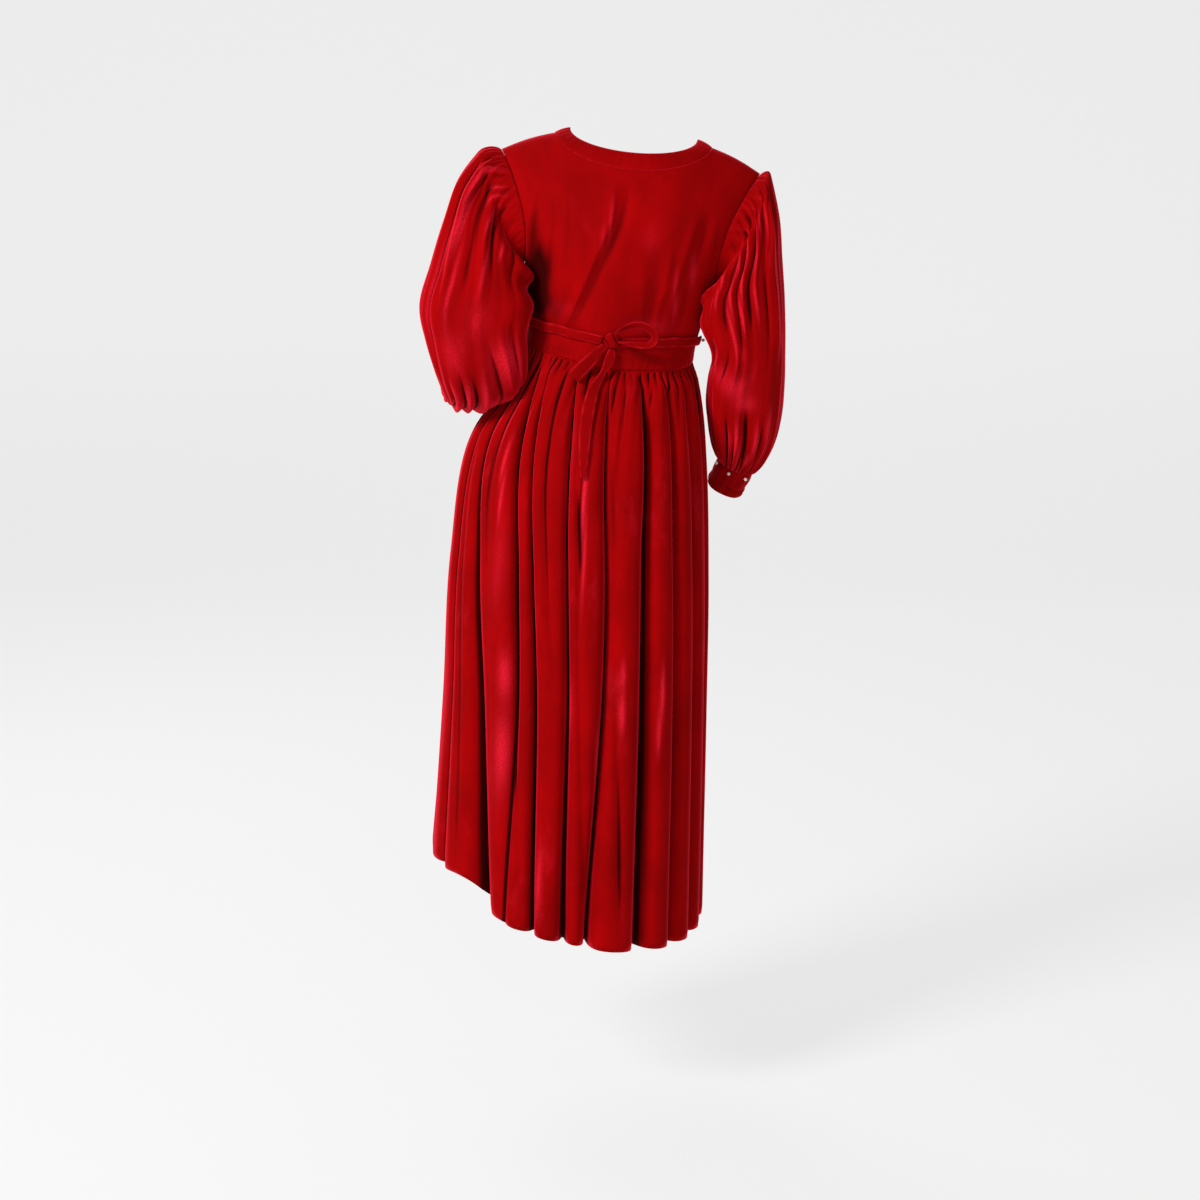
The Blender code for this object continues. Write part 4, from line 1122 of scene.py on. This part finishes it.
# Painted sheen: bright streaks and patches of highlight on the right sleeve.
right_painted_sheen = (
    # turn, share of the length, half width in degrees, half length, strength
    (89, 0.12, 1.3, 0.060, 0.85),
    (93, 0.24, 1.3, 0.080, 0.85),
    (97, 0.36, 1.4, 0.060, 0.75),
    (100, 0.14, 1.2, 0.060, 0.75),
    (106, 0.26, 1.3, 0.080, 0.80),
    (110, 0.42, 1.6, 0.110, 0.70),
    (117, 0.15, 1.3, 0.050, 0.75),
    (121, 0.24, 1.5, 0.050, 0.70),
    (76, 0.20, 1.4, 0.070, 0.55),
    (78, 0.34, 1.6, 0.060, 0.60),
    (68, 0.10, 1.2, 0.050, 0.55),
    (56, 0.12, 1.4, 0.060, 0.50),
    (108, 0.62, 16.0, 0.040, 0.50),
    (92, 0.68, 14.0, 0.030, 0.45),
    (130, 0.58, 10.0, 0.040, 0.35),
    (140, 0.52, 2.2, 0.050, 0.55),
    (101, 0.82, 3.0, 0.060, 0.70),
    (116, 0.84, 6.0, 0.040, 0.40),
    (70, 0.82, 3.0, 0.060, 0.60),
    (55, 0.76, 2.4, 0.060, 0.55),
    (76, 0.92, 4.0, 0.030, 0.50),
    (240, 0.35, 8.0, 0.100, 0.30),
    (300, 0.60, 8.0, 0.080, 0.30),
)
for wearer_left, table, folds, sheen, word in (
    (True, left_sections, left_folds, left_painted_sheen, "left"),
    (False, right_sections, right_folds, right_painted_sheen, "right"),
):
    piece = sleeve_cloth(wearer_left, table, folds, sheen, "sleeve_" + word)

# Cuffs: a close band of velvet at each wrist, with a narrower band sewn along its open edge.
# Both follow the sleeve's last oval, and are a little full and wavy between their seams.
cuff_depth = 0.030
edge_depth = 0.0145
cuff_velvet = velvet("cuff_velvet", streaks=0.2, crush=0.1, painted_rim_sheen=0.5)


def cuff_grid(left, table, start, end, swell, count=120, rows=18):
    """The sleeve's last oval carried along its own axis, slightly full in the middle."""
    side = 1.0 if left else -1.0
    last = np.array([float(len(table))])
    ring, line = sleeve_sections(table, left, count, last)
    ring, line = ring[0], line[0]
    out, rear = unit(ring[0] - line[0]), unit(ring[count // 4] - line[0])
    axis = unit(np.cross(out, rear))
    if np.dot(axis, table[-1, :3] - table[-2, :3]) < 0:
        axis = -axis
    t = np.linspace(0, 1, rows)[:, None, None]
    radial = unit(ring - line)
    full = radial * swell * np.sin(math.pi * t)
    return ring + axis * (start + (end - start) * t) + full, line + axis * start


for wearer_left, table, word in ((True, left_sections, "left"), (False, right_sections, "right")):
    for kind, start, end, swell in (
        ("cuff", seam_gap, cuff_depth, 0.0010),
        ("cuff_edge", cuff_depth + seam_gap, cuff_depth + edge_depth, 0.0012),
    ):
        shape, centre = cuff_grid(wearer_left, table, start, end, swell)
        normals = outward(shape, True, centre)
        turn = np.linspace(0, 2 * math.pi, shape.shape[1], endpoint=False)
        soft = 0.0005 * (np.sin(9 * turn + start * 300) + np.sin(14 * turn + 1.3))[None, :, None]
        shape = shape + normals * soft * np.sin(np.linspace(0, math.pi, len(shape)))[:, None, None]
        shape = rolled_edges(shape, normals, ("first", "last"), 0.0022, 0.0010)
        shape = tucked(shape, normals, "first")
        # Painted shade: the cuff band darkened throughout, its edge band less.
        dark = 0.42 if kind == "cuff" else 0.16
        piece = cloth_piece(
            shape, centre, cuff_velvet, kind + "_" + word, True, 0.0014, shadow=dark
        )

# Ties: two narrow tubes of velvet, turned and pressed, sewn in at the side seams and brought
# round to the centre back, where they lie on the bodice and go into the knot. Their flat sizes
# are those of the strip folded double.
tie_width = 0.014
tie_depth = 0.0042
tie_root = {"left": -0.283, "right": -0.2915}
tie_low = -0.3005
tie_reach = 11.25 / 24
tie_velvet = velvet("tie_velvet", streaks=0.4, crush=0.8, painted_rim_sheen=1.1)


def strip_piece(path, up, half_width, half_depth, node, sizes=None, around=28):
    """A flattened oval carried along a smooth path, drawn in to a rounded point at each end."""
    steps = np.linalg.norm(np.diff(path, axis=0), axis=1)
    length = np.concatenate([[0.0], np.cumsum(steps)])
    tangent = unit(np.gradient(path, axis=0))
    up = unit(up - tangent * np.sum(up * tangent, axis=-1, keepdims=True))
    out = np.cross(tangent, up)
    turn = np.linspace(0, 2 * math.pi, around, endpoint=False)
    wide = np.sign(np.cos(turn)) * np.abs(np.cos(turn)) ** 0.7
    deep = np.sign(np.sin(turn)) * np.abs(np.sin(turn)) ** 0.8
    size = np.ones(len(path)) if sizes is None else sizes
    close = np.sqrt(np.clip(np.minimum(length, length[-1] - length) / half_depth, 0.0, 1.0))
    close = np.maximum(close, 0.02)
    w = (half_width * size * (0.75 + 0.25 * close))[:, None] * wide
    d = (half_depth * close)[:, None] * deep
    points = path[:, None] + up[:, None] * w[..., None] + out[:, None] * d[..., None]
    rows = len(path)
    faces = grid_faces(rows, around, True).tolist()
    faces += [list(range(around))[::-1], list(range((rows - 1) * around, rows * around))]
    closed = np.concatenate([points, points[:, :1]], axis=1)
    if np.sum(surface_normals(closed, False) * (closed - path[:, None])) < 0:
        faces = [face[:1] + face[:0:-1] for face in faces]
    corner = np.concatenate(faces)
    lay = np.stack([(corner % around) / around * 4 * half_width, length[corner // around]], axis=-1)
    # Painted highlight along both edges of the tube, and painted shade across its faces between
    # them.
    edge = np.exp(-(((np.abs(wide) - 0.84) / 0.12) ** 2)) * np.ones(rows)[:, None]
    edge = edge * (0.6 + 0.4 * np.sin(length * 190 + 2 * np.sin(length * 71)))[:, None]
    marks = (("painted_light_spots", 0.42 * edge), ("fold", 0.24 * (1 - edge)))
    return stands_for(smooth_mesh(node + "_cloth", points, faces, [tie_velvet], lay, marks), node)


def tie_path(left, count=130):
    """Places just off the bodice's oval, dropping a little towards the knot."""
    high = tie_root["left" if left else "right"]
    near = np.linspace(0, 1, count)
    s = near * tie_reach if left else 1 - near * tie_reach
    z = high + (tie_low - high) * (near * 11.25 / 11) ** 1.4
    cosine, sine = np.cos(math.pi * s), np.sin(math.pi * s)

    def on_oval(level):
        half, deep = along(body_sections, level, 1), along(body_sections, level, 2)
        return np.stack([half * cosine, deep * sine, level], axis=-1)

    centre = on_oval(z)
    up = unit(on_oval(z + 0.006) - centre)
    half, deep = along(body_sections, z, 1), along(body_sections, z, 2)
    away = np.stack([cosine / half, sine / deep, 0 * z], axis=-1)
    away = unit(unit(away) - up * np.sum(unit(away) * up, axis=-1, keepdims=True))
    wander = 0.0006 * np.sin(near * 23 + (0 if left else 2)) * np.sin(math.pi * near)
    place = centre + away * (tie_depth / 2 + 0.0018) + up * wander[:, None]
    placed = stance(place, body_sections)
    return placed, unit(stance(place + up * 0.001, body_sections) - placed)


for wearer_left, word in ((True, "left"), (False, "right")):
    path, up = tie_path(wearer_left)
    piece = strip_piece(path, up, tie_width / 2, tie_depth / 2, "tie_" + word)

# Half bow: one loop and two tails from a small knot at the centre back, all of the same tube.
# The loop leans back, the short tail lies on the waist seam and the long one on the skirt.
knot_place = np.array((0.0335, 0.0928, -0.2995))
loop_route = np.array([
    # x       y       z
    (0.0275, 0.0975, -0.2900),
    (0.0150, 0.1020, -0.2815),
    (-0.0010, 0.1060, -0.2760),
    (-0.0170, 0.1070, -0.2785),
    (-0.0280, 0.1050, -0.2880),
    (-0.0285, 0.1030, -0.2995),
    (-0.0200, 0.1020, -0.3065),
    (-0.0050, 0.1010, -0.3060),
    (0.0090, 0.0990, -0.3040),
    (0.0238, 0.0962, -0.3021),
])
short_route = np.array([
    # x       y       z
    (0.0431, 0.0935, -0.3064),
    (0.0540, 0.0965, -0.3170),
    (0.0655, 0.1010, -0.3290),
    (0.0790, 0.1065, -0.3420),
    (0.0890, 0.1085, -0.3530),
])
long_route = np.array([
    # x       y       z
    (0.0326, 0.0939, -0.3125),
    (0.0370, 0.0975, -0.3290),
    (0.0470, 0.1045, -0.3475),
    (0.0590, 0.1140, -0.3680),
    (0.0660, 0.1220, -0.3930),
    (0.0710, 0.1290, -0.4230),
    (0.0735, 0.1365, -0.4580),
    (0.0750, 0.1420, -0.4960),
])


def smooth_route(route, count):
    """A route through its points at even steps, each joined to the next by a cubic."""
    rows = np.column_stack([np.arange(len(route)), route])
    at = np.linspace(0, len(route) - 1, count)
    return np.stack([along(rows, at, k) for k in (1, 2, 3)], axis=-1)


path = smooth_route(loop_route, 110)
share = np.linspace(0, 1, 110)[:, None]
spread = unit(path - np.array([-0.004, 0.103, -0.2925])) * np.array([1.0, 0.0, 1.0])
lean = np.radians(18 + 44 * np.sin(math.pi * share) ** 0.7)
up = unit(np.array([0.0, 1.0, 0.2]) * np.cos(lean) + spread * np.sin(lean))
piece = strip_piece(path, up, 0.0060, 0.0015, "bow_loop")
for word, route, half in (("short", short_route, 0.0105), ("long", long_route, 0.0092)):
    count = 80 if word == "short" else 150
    path = smooth_route(route, count)
    tangent = unit(np.gradient(path, axis=0))
    flat = unit(np.cross(tangent, np.array([0.0, 1.0, 0.0])))
    taper = ((0, 0.35, 0.9, 1), (0.42, 0.8, 1.0, 0.96))
    if word == "long":
        taper = ((0, 0.14, 0.25, 0.45, 0.75, 1), (0.5, 0.85, 0.5, 0.9, 1.0, 0.5))
    sizes = along(np.array(taper).T, np.linspace(0, 1, count))
    piece = strip_piece(path, flat, half, 0.0016, "tie_tail_" + word, sizes)


def knot_piece():
    """A tilted lump with three turns of the tube pressed into it."""
    rows, around = 40, 48
    a = np.linspace(0, math.pi, rows)[:, None]
    b = np.linspace(0, 2 * math.pi, around, endpoint=False)[None, :]
    pull = 1 + 0.12 * np.cos(3 * b + 7 * a / math.pi) - 0.08 * np.cos(2 * a)
    turns = np.exp(-((np.sin(2.5 * a + 1.0 * np.cos(b) + 0.6)) ** 2) / 0.06) * np.sin(a)
    local = np.stack([
        0.0100 * np.sin(a) * np.cos(b) * pull * (1 - 0.16 * turns),
        0.0060 * np.sin(a) * np.sin(b) * pull * (1 - 0.22 * turns),
        0.0122 * np.cos(a) + 0 * b,
    ], axis=-1)
    tip = math.radians(-38)
    points = np.stack([
        knot_place[0] + local[..., 0] * math.cos(tip) + local[..., 2] * math.sin(tip),
        knot_place[1] + local[..., 1],
        knot_place[2] - local[..., 0] * math.sin(tip) + local[..., 2] * math.cos(tip),
    ], axis=-1)
    faces = grid_faces(rows, around, True)[:, ::-1]
    lay = np.stack([faces % around / around * 0.05, faces // around / rows * 0.025], axis=-1)
    # Painted shade: the knot a little darker all over and darker still in the grooves of its turns.
    marks = [("fold", 0.15 + 0.55 * turns)]
    piece = smooth_mesh("tie_knot_cloth", points, faces.tolist(), [tie_velvet], lay, marks)
    stands_for(piece, "tie_knot")


knot_piece()

# Beads: small cream pearls sewn on, three along the back of each cuff's top seam and one where
# each tie comes out of the side seam.
bead_radius = 0.0026
bead_columns = (17, 34, 51)


def pearl(name):
    """Cream with soft clouds under a clear coat."""
    material, nodes, link, shader = new_material(name)
    place = nodes.new("ShaderNodeTexCoord")
    cloud = nodes.new("ShaderNodeTexNoise")
    cloud.inputs["Scale"].default_value = 260.0
    link(place.outputs["Object"], cloud.inputs["Vector"])
    warm, cream = (0.78, 0.70, 0.62, 1.0), (0.86, 0.82, 0.76, 1.0)
    link(blend(nodes, link, cloud.outputs["Fac"], warm, cream), shader.inputs["Base Color"])
    shader.inputs["Roughness"].default_value = 0.28
    shader.inputs["Coat Weight"].default_value = 0.6
    shader.inputs["Coat Roughness"].default_value = 0.12
    return material


pearl_coat = pearl("pearl_coat")


def bead_string(name, places):
    """Round beads as one joined mesh: a ring-by-ring ball copied to each place."""
    rows, around = 13, 20
    a = np.linspace(0, math.pi, rows)[:, None]
    b = np.linspace(0, 2 * math.pi, around, endpoint=False)[None, :]
    ball = np.stack([np.sin(a) * np.cos(b), np.sin(a) * np.sin(b), np.cos(a) + 0 * b], axis=-1)
    ball = ball.reshape(-1, 3) * bead_radius
    faces = grid_faces(rows, around, True)[:, ::-1]
    points = np.concatenate([ball + place for place in places])
    every = np.concatenate([faces + len(ball) * k for k in range(len(places))])
    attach(smooth_mesh(name, points, every.tolist(), [pearl_coat]), "root")


for wearer_left, table, word in ((True, left_sections, "left"), (False, right_sections, "right")):
    ring, line = cuff_grid(wearer_left, table, 0.0045, 0.0046, 0.0, 120, 2)
    radial = unit(ring[0] - line)
    spots = [ring[0, k] + radial[k] * (bead_radius + 0.0004) for k in bead_columns]
    bead_string("cuff_beads_" + word, spots)
    side = 1.0 if wearer_left else -1.0
    z = tie_root[word]
    out = float(along(body_sections, z, 1)) + tie_depth + 0.0019 + bead_radius
    bead_string("tie_bead_" + word, [stance(np.array([side * out, 0.005, z]), body_sections)])

# Studio: a pale sweep of paper under and behind, a broad soft light from the upper left of the
# view, two weak fills, and the camera at the height of the shoulders, looking a little down.
floor_height = -1.47
back_wall = -5.2


def paper_sweep():
    """Floor, a quarter-round and a wall, as one profile carried across."""
    turn = np.linspace(0, math.pi / 2, 24)
    radius = 0.9
    y = np.concatenate([[9.0], back_wall + radius - radius * np.sin(turn), [back_wall]])
    z = np.concatenate([[0.0], radius - radius * np.cos(turn), [7.0]]) + floor_height
    x = np.array([-9.0, 9.0])
    points = np.stack(np.broadcast_arrays(x[None, :], y[:, None], z[:, None]), axis=-1)
    faces = grid_faces(*points.shape[:2], False)[:, [0, 3, 2, 1]]
    paper, _, _, shader = new_material("paper")
    shader.inputs["Base Color"].default_value = (0.24, 0.24, 0.24, 1.0)
    shader.inputs["Emission Color"].default_value = (1.0, 1.0, 1.0, 1.0)
    shader.inputs["Emission Strength"].default_value = 0.67
    shader.inputs["Roughness"].default_value = 0.95
    shader.inputs["Specular IOR Level"].default_value = 0.1
    smooth_mesh("paper_sweep", points, faces.tolist(), [paper])


def soft_light(name, place, aim, size, power):
    """A square area light at a place, turned to face an aim."""
    lamp = bpy.data.lights.new(name, "AREA")
    lamp.shape = "SQUARE"
    lamp.size = size
    lamp.energy = power
    light = bpy.data.objects.new(name, lamp)
    light.location = place
    away = Vector(place) - Vector(aim)
    light.rotation_euler = away.to_track_quat("Z", "Y").to_euler()
    bpy.context.scene.collection.objects.link(light)


def studio_world():
    """A dim white room; seen straight through the camera it is as pale as the paper."""
    room = bpy.data.worlds.new("studio")
    room.use_nodes = True
    nodes, link = room.node_tree.nodes, room.node_tree.links.new
    seen = nodes.new("ShaderNodeLightPath")
    level = nodes.new("ShaderNodeMapRange")
    level.inputs["To Min"].default_value = 0.20
    level.inputs["To Max"].default_value = 0.83
    link(seen.outputs["Is Camera Ray"], level.inputs["Value"])
    nodes["Background"].inputs["Color"].default_value = (1.0, 1.0, 1.0, 1.0)
    link(level.outputs["Result"], nodes["Background"].inputs["Strength"])
    bpy.context.scene.world = room


paper_sweep()
soft_light("key", (3.0, 2.9, 2.1), (0.05, 0.0, -0.55), 1.3, 215)
soft_light("front_fill", (-0.6, 4.2, 0.5), (0.05, 0.0, -0.6), 1.4, 26)
soft_light("far_side", (1.6, -2.4, 1.8), (0.05, 0.0, -0.5), 1.6, 40)
studio_world()
bpy.context.scene.view_settings.view_transform = "Standard"

camera_data = bpy.data.cameras.new("camera")
camera_data.sensor_width = 36.0
camera_data.lens = 70.4
camera = bpy.data.objects.new("camera", camera_data)
camera.location = (0.0502, 3.53, -0.096)
camera.rotation_euler = (math.radians(80.3), 0.0, math.pi)
bpy.context.scene.collection.objects.link(camera)
bpy.context.scene.camera = camera
